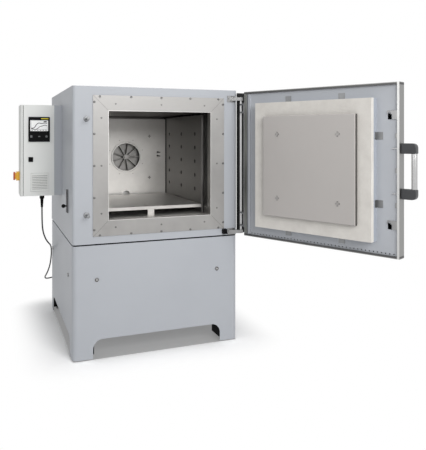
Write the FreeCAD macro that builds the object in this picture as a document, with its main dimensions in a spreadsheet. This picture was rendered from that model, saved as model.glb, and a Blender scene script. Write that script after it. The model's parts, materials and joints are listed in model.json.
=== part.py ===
import FreeCAD, Part
import math
import os
import Sketcher

# Forced convection furnace: a floor-standing cabinet with an insulated square chamber,
# a plug door hung on a rod beside it, and a control box on its left side.
# Millimetres. X runs to the right, Y to the back and Z up. Every place in this file is
# measured from the cabinet's front left bottom corner. The document's origin lies
# under the front left foot, foot_inset further in along X and Y.

Vector = FreeCAD.Vector
doc = FreeCAD.newDocument("ForcedConvectionFurnace")

SIZES = {
    # cabinet
    "cabinet_width": 965,
    "cabinet_depth": 1075,
    "cabinet_height": 1490,
    "casing_sheet": 3,
    "base_top": 622,
    "base_corner": 28,
    "seam_gap": 8,
    "seam_inset": 7,
    "arch_margin": 110,
    "arch_top": 109,
    "arch_radius": 52,
    "front_fold": 30,
    "front_corner": 16,
    # feet and base fittings
    "foot_inset": 50,
    "foot_radius": 24,
    "foot_pad": 8,
    "foot_stud": 6,
    "foot_nut": 9,
    "foot_clear": 6,
    "foot_bracket_height": 30,
    "foot_bracket_reach": 116,
    "foot_bracket_skirt": 62,
    "foot_bracket_sheet": 5,
    "lock_radius": 11,
    "lock_proud": 4,
    "lock_height": 435,
    "lock_margin": 130,
    "lock_side_front": 172,
    "lock_side_back": 82,
    # chamber
    "chamber_shift": 11.5,
    "opening": 600,
    "jamb_depth": 98,
    "liner_sheet": 2,
    "duct_width": 65,
    "liner_depth": 852,
    "fan_space": 70,
    "baffle_front": 133,
    "baffle_flange": 14,
    "baffle_inset": 5,
    "baffle_gap": 12,
    "air_hole_radius": 9,
    "air_hole_first_y": 254,
    "air_hole_end": 74,
    "air_hole_drop": 169,
    "air_hole_pitch_z": 86,
    "rear_baffle_play": 4,
    "rear_baffle_drop": 7,
    "baffle_post_x": 170,
    "baffle_post_z": 149,
    "baffle_post_radius": 8,
    "heater_radius": 5,
    "heater_bend": 30,
    "heater_first_y": 200,
    "heater_pitch_y": 220,
    "heater_rise": 96,
    # collar round the opening
    "collar_band": 85.5,
    "collar_sheet": 5,
    "screw_radius": 6.5,
    "screw_proud": 3,
    "screw_edge": 7,
    "inner_screw_edge": 46,
    "inner_screw_proud": 0.6,
    # fan
    "fan_rise": 11,
    "inlet_radius": 96,
    "inlet_ring_radius": 108,
    "inlet_ring_proud": 6,
    "wheel_radius": 145,
    "wheel_front_gap": 8,
    "blade_depth": 40,
    "blade_sheet": 3,
    "hub_radius": 17,
    "shaft_radius": 10,
    "shaft_clearance": 0.05,
    "bush_radius": 20,
    "shaft_grip": 49,
    "cooling_disc_radius": 60,
    "motor_gap": 36,
    "motor_radius": 78,
    "motor_length": 170,
    "motor_flange": 172,
    "motor_flange_sheet": 10,
    "motor_post_radius": 7,
    "motor_post_spread": 70,
    "hood_half_width": 150,
    "hood_depth": 262,
    "hood_corner": 14,
    # probes and exhaust
    "probe_offset": 233,
    "probe_rise": 6,
    "probe_pitch": 27,
    "probe_radius": 3.5,
    "probe_hole": 7.5,
    "probe_reach": 60,
    "exhaust_rise": 48,
    "exhaust_radius": 30,
    "exhaust_bore": 26,
    "exhaust_flange": 44,
    # shelf
    "shelf_rise": 51,
    "shelf_sheet": 3,
    "shelf_front": 125,
    "shelf_gap": 40,
    "shelf_side_gap": 8,
    "shelf_lip": 18,
    "rail_leg": 20,
    "rail_front": 140,
    "post_shift": 24,
    "post_width": 39,
    # strikers and hinge on the cabinet
    "latch_gap": 34.5,
    "latch_drop": 266,
    "latch_rise": 256,
    "striker_reach": 70,
    "striker_neck": 5,
    "striker_head": 8.5,
    "hinge_overhang": 17,
    "hinge_setback": 80,
    "post_setback": 24,
    "post_offset": 2,
    "post_radius": 6.5,
    "rod_radius": 8,
    "rod_clearance": 0.06,
    "arm_rise": 10,
    "arm_drop": 36,
    "arm_sheet": 19,
    "arm_foot_gap": 22.5,
    "arm_foot_width": 48,
    "arm_foot_sheet": 5,
    "link_sheet": 8,
    "link_radius": 11,
    "link_1_rise": 50,
    "link_2_rise": 124,
    "link_3_drop": 116,
    "link_4_drop": 69,
    # door
    "door_angle": 115.3,
    "hinge_gap": 16,
    "door_margin": 22,
    "door_gap_low": 18,
    "door_gap_high": 16,
    "door_depth": 54,
    "door_sheet": 2,
    "door_lip": 12,
    "vent_hole": 3.5,
    "lip_ahead": 28,
    "panel_recess": 8,
    "board_inset_x": 33,
    "board_inset_z": 39.5,
    "board_sheet": 25,
    "seal_gap": 1,
    "plug_gap_x": 20,
    "plug_gap_z": 29,
    "plug_sheet": 23,
    "plug_mark_x": 184,
    "plug_mark_z": 172,
    "cross_arm": 11,
    "cross_half": 3.5,
    "clip_width": 36,
    "clip_reach": 34,
    "clip_spread": 164,
    "barrel_radius": 12,
    "slot_width": 20,
    "slot_height": 30,
    "latch_travel": 16,
    "latch_sheet": 4,
    "handle_drop": 3,
    "handle_spacing": 214,
    "handle_reach": 74,
    "handle_block": 49,
    "handle_round": 20,
    "handle_width": 30,
    "grip_radius": 13.5,
    # air inlet slider
    "slider_y": 189,
    "slider_drop": 272,
    "slider_height": 130,
    "slider_width": 34,
    "slider_plate": 80,
    "inlet_drop": 163,
    "inlet_bore": 12,
    "knob_drop": 234,
    "knob_radius": 11,
    # control box
    "box_left": 242,
    "box_right": 46,
    "box_front": 468,
    "box_depth": 200,
    "box_bottom": 856,
    "box_height": 549,
    "box_round": 14,
    "box_sheet": 2,
    "front_panel_sheet": 12,
    "front_panel_left": 224,
    "panel_joint": 3,
    "display_left": 196,
    "display_width": 124,
    "display_rise": 327,
    "display_height": 150,
    "screen_width": 104,
    "screen_height": 66,
    "port_width": 27,
    "port_rise": 206,
    "port_height": 29,
    "vent_left": 183,
    "vent_width": 105,
    "vent_rise": 27,
    "vent_height": 111,
    "vent_proud": 8,
    "switch_y": 560,
    "switch_rise": 118,
    "switch_plate": 54,
    "switch_plate_sheet": 20,
    "switch_knob_radius": 19,
    "switch_knob_proud": 16,
    # glands and cord
    "cord_radius": 4.5,
    "gland_bore": 4.8,
    "gland_length": 78,
    "gland_nut": 14,
    "gland_x": -112,
    "gland_y": 540,
    "base_gland_x": 150,
    "base_gland_z": 218,
    "base_gland_length": 30,
    "cord_step": 10,
    # door contact switch
    "contact_gap": 22,
    "contact_drop": 16.5,
    "contact_proud": 24,
    "plunger_radius": 4,
    "plunger_reach": 27.5,
    "plunger_drop": 6,
}

sheet = doc.addObject("Spreadsheet::Sheet", "Sizes")
for row, (alias, value) in enumerate(SIZES.items(), start=1):
    sheet.set("A%d" % row, alias)
    sheet.set("B%d" % row, str(value))
    sheet.setAlias("B%d" % row, alias)
doc.recompute()


class Size:
    """A length of the sheet, or one worked out from others: its number and its expression."""

    def __init__(self, number, text):
        self.number = number
        self.text = text

    def __add__(self, other):
        return Size(self.number + number(other), "(%s + %s)" % (self.text, text(other)))

    def __sub__(self, other):
        return Size(self.number - number(other), "(%s - %s)" % (self.text, text(other)))

    def __mul__(self, other):
        return Size(self.number * number(other), "(%s * %s)" % (self.text, text(other)))

    def __truediv__(self, other):
        return Size(self.number / number(other), "(%s / %s)" % (self.text, text(other)))

    def __radd__(self, other):
        return Size(number(other) + self.number, "(%s + %s)" % (text(other), self.text))

    def __rsub__(self, other):
        return Size(number(other) - self.number, "(%s - %s)" % (text(other), self.text))

    def __neg__(self):
        return Size(-self.number, "(0 - %s)" % self.text)

    __rmul__ = __mul__


def number(size):
    return float(size.number) if isinstance(size, Size) else float(size)


def text(size):
    return size.text if isinstance(size, Size) else repr(float(size))


class Sheet:
    """Gives each cell of the sheet as a Size under its alias."""


mm = Sheet()
for alias, value in SIZES.items():
    setattr(mm, alias, Size(value, "Sizes." + alias))


def bind(thing, prop, size):
    """Sets a property and ties it to the sheet."""
    setattr(thing, prop, number(size))
    if isinstance(size, Size):
        thing.setExpression(prop, size.text)


def place(thing, x=0, y=0, z=0, turn_axis=None, turn=0):
    """Puts an object at a point measured from the cabinet's front left bottom corner."""
    corner = (x - mm.foot_inset, y - mm.foot_inset, z)
    rotation = FreeCAD.Rotation(turn_axis or Vector(0, 0, 1), number(turn))
    thing.Placement = FreeCAD.Placement(Vector(*[number(size) for size in corner]), rotation)
    for letter, size in zip("xyz", corner):
        thing.setExpression("Placement.Base." + letter, text(size))
    if isinstance(turn, Size):
        thing.setExpression("Placement.Rotation.Angle", turn.text)
    return thing


def hang_on_door(body):
    """Door pieces are drawn as if the door were closed, from the hinge axis, and turned open."""
    return place(body, hinge_x, -mm.hinge_setback, 0, Vector(0, 0, 1), mm.door_angle)


def new_body(label):
    body = doc.addObject("PartDesign::Body", label)
    body.Label = label
    body.AllowCompound = True
    return body


def new_sketch(body, plane, at):
    """An empty sketch on one of the body's planes, moved along the row's axis to at."""
    origin_plane = [item for item in body.Origin.OriginFeatures if item.Role == plane + "_Plane"][0]
    sketch = body.newObject("Sketcher::SketchObject", body.Label + "_sketch")
    sketch.AttachmentSupport = (origin_plane, [""])
    sketch.MapMode = "FlatFace"
    offset = -at if plane == "XZ" else at
    sketch.AttachmentOffset = FreeCAD.Placement(Vector(0, 0, number(offset)), FreeCAD.Rotation())
    if isinstance(offset, Size):
        sketch.setExpression("AttachmentOffset.Base.z", offset.text)
    return sketch


def disc(x, y, radius):
    return {"centre": (x, y), "radius": radius}


def rectangle(x0, y0, x1, y1):
    return [(x0, y0), (x1, y0), (x1, y1), (x0, y1)]


def rounded_rectangle(x0, y0, x1, y1, radius):
    return [
        (x0 + radius, y0), (x1 - radius, y0, radius), (x1, y0 + radius), (x1, y1 - radius, radius),
        (x1 - radius, y1), (x0 + radius, y1, radius), (x0, y1 - radius), (x0, y0 + radius, radius),
    ]


def arc_between(start, end, radius):
    """The arc from start to end, turning left for a positive radius and right for a negative one."""
    middle = (start + end) * 0.5
    half = (end - start) * 0.5
    rise = math.sqrt(max(radius * radius - half.Length ** 2, 0.0))
    across = Vector(-half.y, half.x, 0).normalize() * math.copysign(rise, radius)
    centre = middle + across
    angles = [math.atan2(point.y - centre.y, point.x - centre.x) for point in (start, end)]
    if radius < 0:
        angles.reverse()
    circle = Part.Circle(centre, Vector(0, 0, 1), abs(radius))
    return Part.ArcOfCircle(circle, angles[0], angles[1])


def draw(sketch, loops):
    """Draws outlines and discs, each corner and radius tied to the sheet."""
    geometry = []
    rules = []
    sizes = []

    def rule(size, *items):
        rules.append(Sketcher.Constraint(*items, number(size)))
        sizes.append((len(rules) - 1, size))

    for loop in loops:
        first = len(geometry)
        if isinstance(loop, dict):
            centre = Vector(number(loop["centre"][0]), number(loop["centre"][1]), 0)
            geometry.append(Part.Circle(centre, Vector(0, 0, 1), number(loop["radius"])))
            rule(loop["centre"][0], "DistanceX", -1, 1, first, 3)
            rule(loop["centre"][1], "DistanceY", -1, 1, first, 3)
            rule(loop["radius"], "Radius", first)
            continue
        points = [Vector(number(corner[0]), number(corner[1]), 0) for corner in loop]
        ends = []
        for index, corner in enumerate(loop):
            start = points[index]
            end = points[(index + 1) % len(loop)]
            radius = corner[2] if len(corner) > 2 else None
            if radius is None:
                geometry.append(Part.LineSegment(start, end))
            else:
                geometry.append(arc_between(start, end, number(radius)))
            turns_right = radius is not None and number(radius) < 0
            ends.append((2, 1) if turns_right else (1, 2))
            if radius is not None:
                rule(-radius if turns_right else radius, "Radius", first + index)
        for index, corner in enumerate(loop):
            following = (index + 1) % len(loop)
            rules.append(Sketcher.Constraint(
                "Coincident", first + index, ends[index][1], first + following, ends[following][0]))
            rule(corner[0], "DistanceX", -1, 1, first + index, ends[index][0])
            rule(corner[1], "DistanceY", -1, 1, first + index, ends[index][0])
    sketch.addGeometry(geometry, False)
    sketch.addConstraint(rules)
    for index, size in sizes:
        if isinstance(size, Size):
            sketch.setExpression("Constraints[%d]" % index, size.text)


def pad(body, plane, loops, at, length, backwards=False):
    """Adds a pad from a plane at `at`, towards the axis's positive end or backwards."""
    sketch = new_sketch(body, plane, at)
    draw(sketch, loops)
    feature = body.newObject("PartDesign::Pad", body.Label + "_pad")
    feature.Profile = sketch
    bind(feature, "Length", length)
    feature.Reversed = (plane == "XZ") != backwards
    return feature


def cut(body, plane, loops, at=0, length=None, backwards=False):
    """Takes a pocket away, right through the body where no length is given."""
    sketch = new_sketch(body, plane, at)
    draw(sketch, loops)
    feature = body.newObject("PartDesign::Pocket", body.Label + "_pocket")
    feature.Profile = sketch
    if length is None:
        feature.Type = "ThroughAll"
        feature.SideType = "Symmetric"
    else:
        bind(feature, "Length", length)
        feature.Reversed = (plane == "XZ") == backwards
    return feature


def round_edges(body, radius, wanted, kind="Fillet"):
    """Fillets or chamfers those edges of the body's last feature whose box and length are wanted."""
    doc.recompute()
    base = body.Tip
    names = [
        "Edge%d" % (index + 1)
        for index, edge in enumerate(base.Shape.Edges)
        if wanted(edge.BoundBox, edge.Length)
    ]
    feature = body.newObject("PartDesign::" + kind, body.Label + "_" + kind.lower())
    feature.Base = (base, names)
    bind(feature, "Radius" if kind == "Fillet" else "Size", radius)
    return feature


def near(first, second):
    return abs(first - number(second)) < 0.01


# Places that several pieces share

case_bottom = mm.base_top + mm.seam_gap
inner_left = mm.casing_sheet
inner_right = mm.cabinet_width - mm.casing_sheet
case_back = mm.cabinet_depth - mm.casing_sheet
half_opening = mm.opening / 2
chamber_x = mm.cabinet_width / 2 + mm.chamber_shift
chamber_z = (mm.base_top + mm.cabinet_height) / 2
jamb_outer = half_opening + mm.liner_sheet
liner_floor = chamber_z - jamb_outer
liner_ceiling = chamber_z + jamb_outer
liner_back = mm.jamb_depth + mm.liner_depth
liner_half_width = half_opening + mm.duct_width
liner_outer = liner_half_width + mm.liner_sheet
rear_baffle_y = liner_back - mm.fan_space
rear_baffle_height = jamb_outer * 2 - mm.baffle_gap - mm.rear_baffle_drop
baffle_back = rear_baffle_y - mm.baffle_gap
baffle_height = jamb_outer * 2 - mm.baffle_gap
baffle_half_width = half_opening - mm.baffle_inset
rear_baffle_half = baffle_half_width - mm.rear_baffle_play
air_hole_pitch_y = (baffle_back - mm.air_hole_end - mm.air_hole_first_y) / 2
air_hole_first_z = chamber_z - mm.air_hole_drop
heater_bottom = liner_floor + mm.heater_rise
fan_z = chamber_z + mm.fan_rise
probe_x = chamber_x + mm.probe_offset
probe_z = fan_z + mm.probe_rise
exhaust_z = liner_floor + mm.exhaust_rise
shelf_top = liner_floor + mm.shelf_rise
shelf_bottom = shelf_top - mm.shelf_sheet
shelf_back = rear_baffle_y - mm.shelf_gap
collar_half = half_opening + mm.collar_band
arm_foot_left = chamber_x + collar_half + mm.arm_foot_gap
contact_x = arm_foot_left - mm.contact_gap
contact_z = chamber_z - collar_half - mm.contact_drop
latch_x = chamber_x - collar_half - mm.latch_gap
board_width = (collar_half - mm.board_inset_x) * 2
board_height = (collar_half - mm.board_inset_z) * 2
plug_width = (half_opening - mm.plug_gap_x) * 2
plug_height = (half_opening - mm.plug_gap_z) * 2
door_bottom = mm.base_top + mm.door_gap_low
door_top = mm.cabinet_height - mm.door_gap_high
hinge_x = mm.cabinet_width + mm.hinge_overhang
arm_low_z = door_bottom + mm.arm_rise
arm_high_z = door_top - mm.arm_drop
link_1_z = door_bottom + mm.link_1_rise
link_2_z = door_bottom + mm.link_2_rise
link_3_z = door_top - mm.link_3_drop
link_4_z = door_top - mm.link_4_drop
handle_z = chamber_z - mm.handle_drop
slider_bottom = chamber_z - mm.slider_drop
inlet_z = chamber_z - mm.inlet_drop
knob_z = chamber_z - mm.knob_drop
display_bottom = mm.box_bottom + mm.display_rise
port_bottom = mm.box_bottom + mm.port_rise
vent_bottom = mm.box_bottom + mm.vent_rise
switch_z = mm.box_bottom + mm.switch_rise
rod_y = -mm.hinge_setback
post_x = hinge_x - mm.post_offset
post_y = -mm.post_setback
board_face = mm.hinge_setback - mm.collar_sheet - mm.seal_gap
board_back = board_face - mm.board_sheet
panel_face = mm.lip_ahead - mm.panel_recess
door_skin = mm.lip_ahead - mm.door_depth
door_near = -mm.hinge_gap
door_far = mm.door_margin - hinge_x
door_chamber_x = chamber_x - hinge_x
slot_x = latch_x - hinge_x
latch_heights = (chamber_z - mm.latch_drop, chamber_z + mm.latch_rise)
foot_xs = (mm.foot_inset, mm.cabinet_width - mm.foot_inset)
foot_ys = (mm.foot_inset, mm.cabinet_depth - mm.foot_inset)


def square(x, z, half):
    return rectangle(x - half, z - half, x + half, z + half)


def cross(x, z):
    """A plus-shaped fastener mark."""
    a = mm.cross_half
    b = mm.cross_arm
    return [
        (x + a, z + a), (x + a, z + b), (x - a, z + b), (x - a, z + a), (x - b, z + a), (x - b, z - a),
        (x - a, z - a), (x - a, z - b), (x + a, z - b), (x + a, z - a), (x + b, z - a), (x + b, z + a),
    ]


def rear_passages(shaft, probe, exhaust):
    """The holes behind the chamber for the fan's shaft, the two probes and the exhaust."""
    return [
        disc(chamber_x, fan_z, shaft),
        disc(probe_x, probe_z, probe),
        disc(probe_x, probe_z + mm.probe_pitch, probe),
        disc(chamber_x, exhaust_z, exhaust),
    ]


# Base

def base_shell():
    """Folded base casing, open below, with an arch in each side between the feet."""
    body = place(new_body("base_shell"))
    width = mm.cabinet_width
    depth = mm.cabinet_depth
    wall = mm.casing_sheet
    height = mm.base_top - mm.foot_clear
    pad(body, "XY", [rounded_rectangle(0, 0, width, depth, mm.base_corner)], mm.foot_clear, height)
    inside = rounded_rectangle(wall, wall, width - wall, depth - wall, mm.base_corner - wall)
    cut(body, "XY", [inside], mm.foot_clear, height - wall)
    for plane, span in (("XZ", width), ("YZ", depth)):
        left = mm.arch_margin
        right = span - mm.arch_margin
        top = mm.arch_top
        bend = mm.arch_radius
        arch = [
            (left, 0), (right, 0), (right, top - bend, bend), (right - bend, top),
            (left + bend, top, bend), (left, top - bend),
        ]
        cut(body, plane, [arch])
    return body


def base_floor():
    """Pan that closes the base above the arches."""
    body = place(new_body("base_floor"))
    wall = mm.casing_sheet
    corner = mm.base_corner - wall
    outline = rounded_rectangle(wall, wall, mm.cabinet_width - wall, mm.cabinet_depth - wall, corner)
    pad(body, "XY", [outline], mm.arch_top + wall * 2, wall)
    return body


def levelling_feet():
    """Four adjustable feet: a pad, a lock nut and a stud each."""
    body = place(new_body("levelling_feet"))
    spots = [(x, y) for x in foot_xs for y in foot_ys]
    pads = pad(body, "XY", [disc(x, y, mm.foot_radius) for x, y in spots], 0, mm.foot_pad)
    nut = mm.foot_bracket_height - mm.foot_pad
    pad(body, "XY", [disc(x, y, mm.foot_nut) for x, y in spots], mm.foot_pad, nut)
    pad(body, "XY", [disc(x, y, mm.foot_stud) for x, y in spots], mm.foot_bracket_height, mm.foot_pad * 2)
    return body


def foot_brackets():
    """Corner plates on the feet's lock nuts, with upright skirts that show in the arches."""
    body = place(new_body("foot_brackets"))
    wall = mm.casing_sheet
    reach = mm.foot_bracket_reach
    bevel = mm.base_corner + wall
    corner = [(wall, bevel), (bevel, wall), (reach, wall), (reach, reach), (wall, reach)]
    loops = []
    for right in (False, True):
        for back in (False, True):
            loops.append([
                (mm.cabinet_width - x if right else x, mm.cabinet_depth - y if back else y)
                for x, y in corner
            ])
    pad(body, "XY", loops, mm.foot_bracket_height, mm.foot_bracket_sheet)
    skirts = []
    for right in (False, True):
        for back in (False, True):
            spans = ((reach - wall, wall, reach, reach), (wall, reach - wall, reach, reach))
            for x0, y0, x1, y1 in spans:
                left = mm.cabinet_width - x0 if right else x0
                end = mm.cabinet_width - x1 if right else x1
                front = mm.cabinet_depth - y0 if back else y0
                rear = mm.cabinet_depth - y1 if back else y1
                skirts.append(rectangle(left, front, end, rear))
    low = mm.foot_bracket_height
    for skirt in skirts:
        pad(body, "XY", [skirt], low, mm.foot_bracket_skirt)
    cut(body, "XY", [disc(x, y, mm.foot_stud + 0.3) for x in foot_xs for y in foot_ys])
    return body


def panel_locks():
    """Round quarter-turn locks of the base's front and side panels."""
    body = place(new_body("panel_locks"))
    front = (mm.lock_margin, mm.cabinet_width - mm.lock_margin)
    side = (mm.lock_side_front, mm.cabinet_depth - mm.lock_side_back)
    proud = mm.lock_proud
    front_discs = [disc(x, mm.lock_height, mm.lock_radius) for x in front]
    side_discs = [disc(y, mm.lock_height, mm.lock_radius) for y in side]
    pad(body, "XZ", front_discs, 0, proud, backwards=True)
    pad(body, "YZ", side_discs, 0, proud, backwards=True)
    pad(body, "YZ", side_discs, mm.cabinet_width, proud)
    return body


def seam_spacer():
    """Set-back frame that leaves the dark joint between base and upper cabinet."""
    body = place(new_body("seam_spacer"))
    near_side = mm.seam_inset
    far_side = mm.seam_inset * 6
    outer = rectangle(near_side, near_side, mm.cabinet_width - near_side, mm.cabinet_depth - near_side)
    inner = rectangle(far_side, far_side, mm.cabinet_width - far_side, mm.cabinet_depth - far_side)
    pad(body, "XY", [outer, inner], mm.base_top, mm.seam_gap)
    return body


# Upper casing

def front_panel():
    """Front of the upper casing: a folded pan with the chamber's square opening."""
    body = place(new_body("front_panel"))
    width = mm.cabinet_width
    wall = mm.casing_sheet
    fold = mm.front_fold
    bend = mm.front_corner
    small = bend - wall
    height = mm.cabinet_height - case_bottom
    outer = [(bend, 0), (width - bend, 0, bend), (width, bend), (width, fold), (0, fold), (0, bend, bend)]
    inner = [
        (bend, wall), (width - bend, wall, small), (width - wall, bend), (width - wall, fold + 1),
        (wall, fold + 1), (wall, bend, small),
    ]
    pad(body, "XY", [outer], case_bottom, height)
    cut(body, "XY", [inner], case_bottom + wall, height - wall * 2)
    cut(body, "XZ", [square(chamber_x, chamber_z, jamb_outer)], 0, wall)
    return body


def casing_wrap():
    """Sides, top and floor of the upper casing, folded from sheet."""
    body = place(new_body("casing_wrap"))
    wall = mm.casing_sheet
    outer = rectangle(0, case_bottom, mm.cabinet_width, mm.cabinet_height)
    inner = rectangle(inner_left, case_bottom + wall, inner_right, mm.cabinet_height - wall)
    pad(body, "XZ", [outer, inner], mm.front_fold, case_back - mm.front_fold)
    cut(body, "YZ", [disc(mm.slider_y, inlet_z, mm.inlet_bore + mm.liner_sheet)], 0, wall)
    return body


def rear_panel():
    body = place(new_body("rear_panel"))
    outline = rectangle(0, case_bottom, mm.cabinet_width, mm.cabinet_height)
    pad(body, "XZ", [outline], case_back, mm.casing_sheet)
    cut(body, "XZ", rear_passages(mm.bush_radius, mm.probe_radius + 0.3, mm.exhaust_radius))
    return body


def insulation_block():
    """Fibre lining between casing and chamber."""
    body = place(new_body("insulation_block"))
    bottom = case_bottom + mm.casing_sheet
    top = mm.cabinet_height - mm.casing_sheet
    inside = rectangle(inner_left, bottom, inner_right, top)
    pad(body, "XZ", [inside], mm.front_fold, case_back - mm.front_fold)
    chamber = rectangle(
        chamber_x - liner_outer, liner_floor - mm.liner_sheet,
        chamber_x + liner_outer, liner_ceiling + mm.liner_sheet)
    cut(body, "XZ", [chamber], mm.jamb_depth, mm.liner_depth + mm.liner_sheet)
    cut(body, "XZ", [square(chamber_x, chamber_z, jamb_outer)], 0, mm.jamb_depth)
    passages = rear_passages(mm.shaft_radius + 4, mm.probe_radius + 0.3, mm.exhaust_radius)
    cut(body, "XZ", passages, liner_back, mm.cabinet_depth - liner_back)
    inlet = disc(mm.slider_y, inlet_z, mm.inlet_bore + mm.liner_sheet)
    cut(body, "YZ", [inlet], 0, chamber_x - liner_half_width)
    return body


# Chamber

def chamber_liner():
    """Stainless box that holds the air guides, open at the front through the jamb."""
    body = place(new_body("chamber_liner"))
    wall = mm.liner_sheet
    centre = chamber_x
    half = liner_half_width
    outer = rectangle(centre - half - wall, liner_floor - wall, centre + half + wall, liner_ceiling + wall)
    inner = rectangle(centre - half, liner_floor, centre + half, liner_ceiling)
    pad(body, "XZ", [outer], mm.jamb_depth, mm.liner_depth + wall)
    cut(body, "XZ", [inner], mm.jamb_depth + wall, mm.liner_depth - wall)
    cut(body, "XZ", [square(centre, chamber_z, half_opening)], mm.jamb_depth, wall)
    passages = rear_passages(mm.shaft_radius + 4, mm.probe_radius + 0.3, mm.exhaust_radius)
    cut(body, "XZ", passages, liner_back - wall, wall * 3)
    inlet = disc(mm.slider_y, inlet_z, mm.inlet_bore + wall)
    cut(body, "YZ", [inlet], centre - half - wall * 2, wall * 3)
    return body


def throat_liner():
    """Jamb between the front panel and the chamber."""
    body = place(new_body("throat_liner"))
    centre = (chamber_x, chamber_z)
    pad(body, "XZ", [square(*centre, jamb_outer), square(*centre, half_opening)], 0, mm.jamb_depth)
    return body


def collar_frame():
    """Polished frame round the opening, its four strips mitred at the corners."""
    body = place(new_body("collar_frame"))
    x = chamber_x
    z = chamber_z
    outside = collar_half
    loops = [square(x, z, outside), square(x, z, half_opening)]
    pad(body, "XZ", loops, -mm.collar_sheet, mm.collar_sheet)
    mitres = []
    groove = 0.8
    for right in (1, -1):
        for up in (1, -1):
            mitres.append([
                (x + right * half_opening, z + up * (half_opening + groove)),
                (x + right * (half_opening + groove), z + up * half_opening),
                (x + right * outside, z + up * (outside - groove)),
                (x + right * (outside - groove), z + up * outside),
            ])
    cut(body, "XZ", mitres, -mm.collar_sheet, 1)
    return body


def screw_spots(edge, columns, rows):
    """Places of a ring of screws at a distance in from the collar's outer edge."""
    half = collar_half - edge
    spots = []
    for step in columns:
        for up in (1, -1):
            spots.append((chamber_x + half * step, chamber_z + half * up))
    for step in rows:
        for right in (1, -1):
            spots.append((chamber_x + half * right, chamber_z + half * step))
    return spots


def collar_screws():
    """Screws of the collar: an outer ring of raised heads and an inner ring of flush ones."""
    body = place(new_body("collar_screws"))
    outer = screw_spots(mm.screw_edge, (-0.92, -0.46, 0, 0.46, 0.92), (-0.92, -0.46, 0, 0.46, 0.92))
    inner = screw_spots(mm.inner_screw_edge, (-0.77, 0, 0.77), (-0.77, 0, 0.77))
    small = mm.screw_radius * 0.8
    heads = [disc(x, z, mm.screw_radius) for x, z in outer]
    flush = [disc(x, z, small) for x, z in inner]
    pad(body, "XZ", heads, -mm.collar_sheet, mm.screw_proud, backwards=True)
    pad(body, "XZ", flush, -mm.collar_sheet, mm.inner_screw_proud, backwards=True)
    return body


def side_baffles():
    """Air guides along both sides: folded sheets with a front flange and rows of air holes."""
    body = place(new_body("side_baffles"))
    x = chamber_x
    face = baffle_half_width
    wall = mm.liner_sheet
    front = mm.baffle_front
    outlines = []
    for side in (1, -1):
        outlines.append([
            (x + side * face, front), (x + side * (face + mm.baffle_flange), front),
            (x + side * (face + mm.baffle_flange), front + wall), (x + side * (face + wall), front + wall),
            (x + side * (face + wall), baffle_back), (x + side * face, baffle_back),
        ])
    pad(body, "XY", outlines, liner_floor, baffle_height)
    holes = [
        disc(mm.air_hole_first_y + air_hole_pitch_y * column,
             air_hole_first_z + mm.air_hole_pitch_z * row, mm.air_hole_radius)
        for column in range(3)
        for row in range(5)
    ]
    cut(body, "YZ", holes)
    return body


def rear_baffle():
    """Rear air guide with the round fan inlet, held off the back wall by four posts."""
    body = place(new_body("rear_baffle"))
    x = chamber_x
    half = rear_baffle_half
    top = liner_floor + rear_baffle_height
    pad(body, "XZ", [rectangle(x - half, liner_floor, x + half, top)], rear_baffle_y, mm.liner_sheet)
    cut(body, "XZ", rear_passages(mm.inlet_radius, mm.probe_hole, mm.exhaust_radius + 0.3))
    return body


def baffle_post_spots():
    return [
        (chamber_x + side * mm.baffle_post_x, fan_z + up * mm.baffle_post_z)
        for side in (1, -1)
        for up in (1, -1)
    ]


def baffle_fixings():
    """Posts and plus-shaped nuts of the rear air guide, and the rivets round the fan inlet."""
    body = place(new_body("baffle_fixings"))
    start = rear_baffle_y + mm.liner_sheet
    posts = [disc(x, z, mm.baffle_post_radius) for x, z in baffle_post_spots()]
    pad(body, "XZ", posts, start, liner_back - start)
    pad(body, "XZ", [cross(x, z) for x, z in baffle_post_spots()], rear_baffle_y, 4, backwards=True)
    ring = mm.inlet_ring_radius + 20
    rivets = []
    for step in range(8):
        angle = math.radians(45 * step + 22.5)
        rivets.append(disc(chamber_x + ring * math.cos(angle), fan_z + ring * math.sin(angle), 3))
    pad(body, "XZ", rivets, rear_baffle_y, 2.5, backwards=True)
    return body


def fan_inlet_ring():
    body = place(new_body("fan_inlet_ring"), chamber_x, 0, fan_z)
    loops = [disc(0, 0, mm.inlet_ring_radius), disc(0, 0, mm.inlet_radius)]
    pad(body, "XZ", loops, rear_baffle_y, mm.inlet_ring_proud, backwards=True)
    front = rear_baffle_y - mm.inlet_ring_proud
    round_edges(
        body, mm.inlet_ring_proud / 2,
        lambda box, length: near(box.YMin, front) and near(box.YMax, front))
    return body


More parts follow.
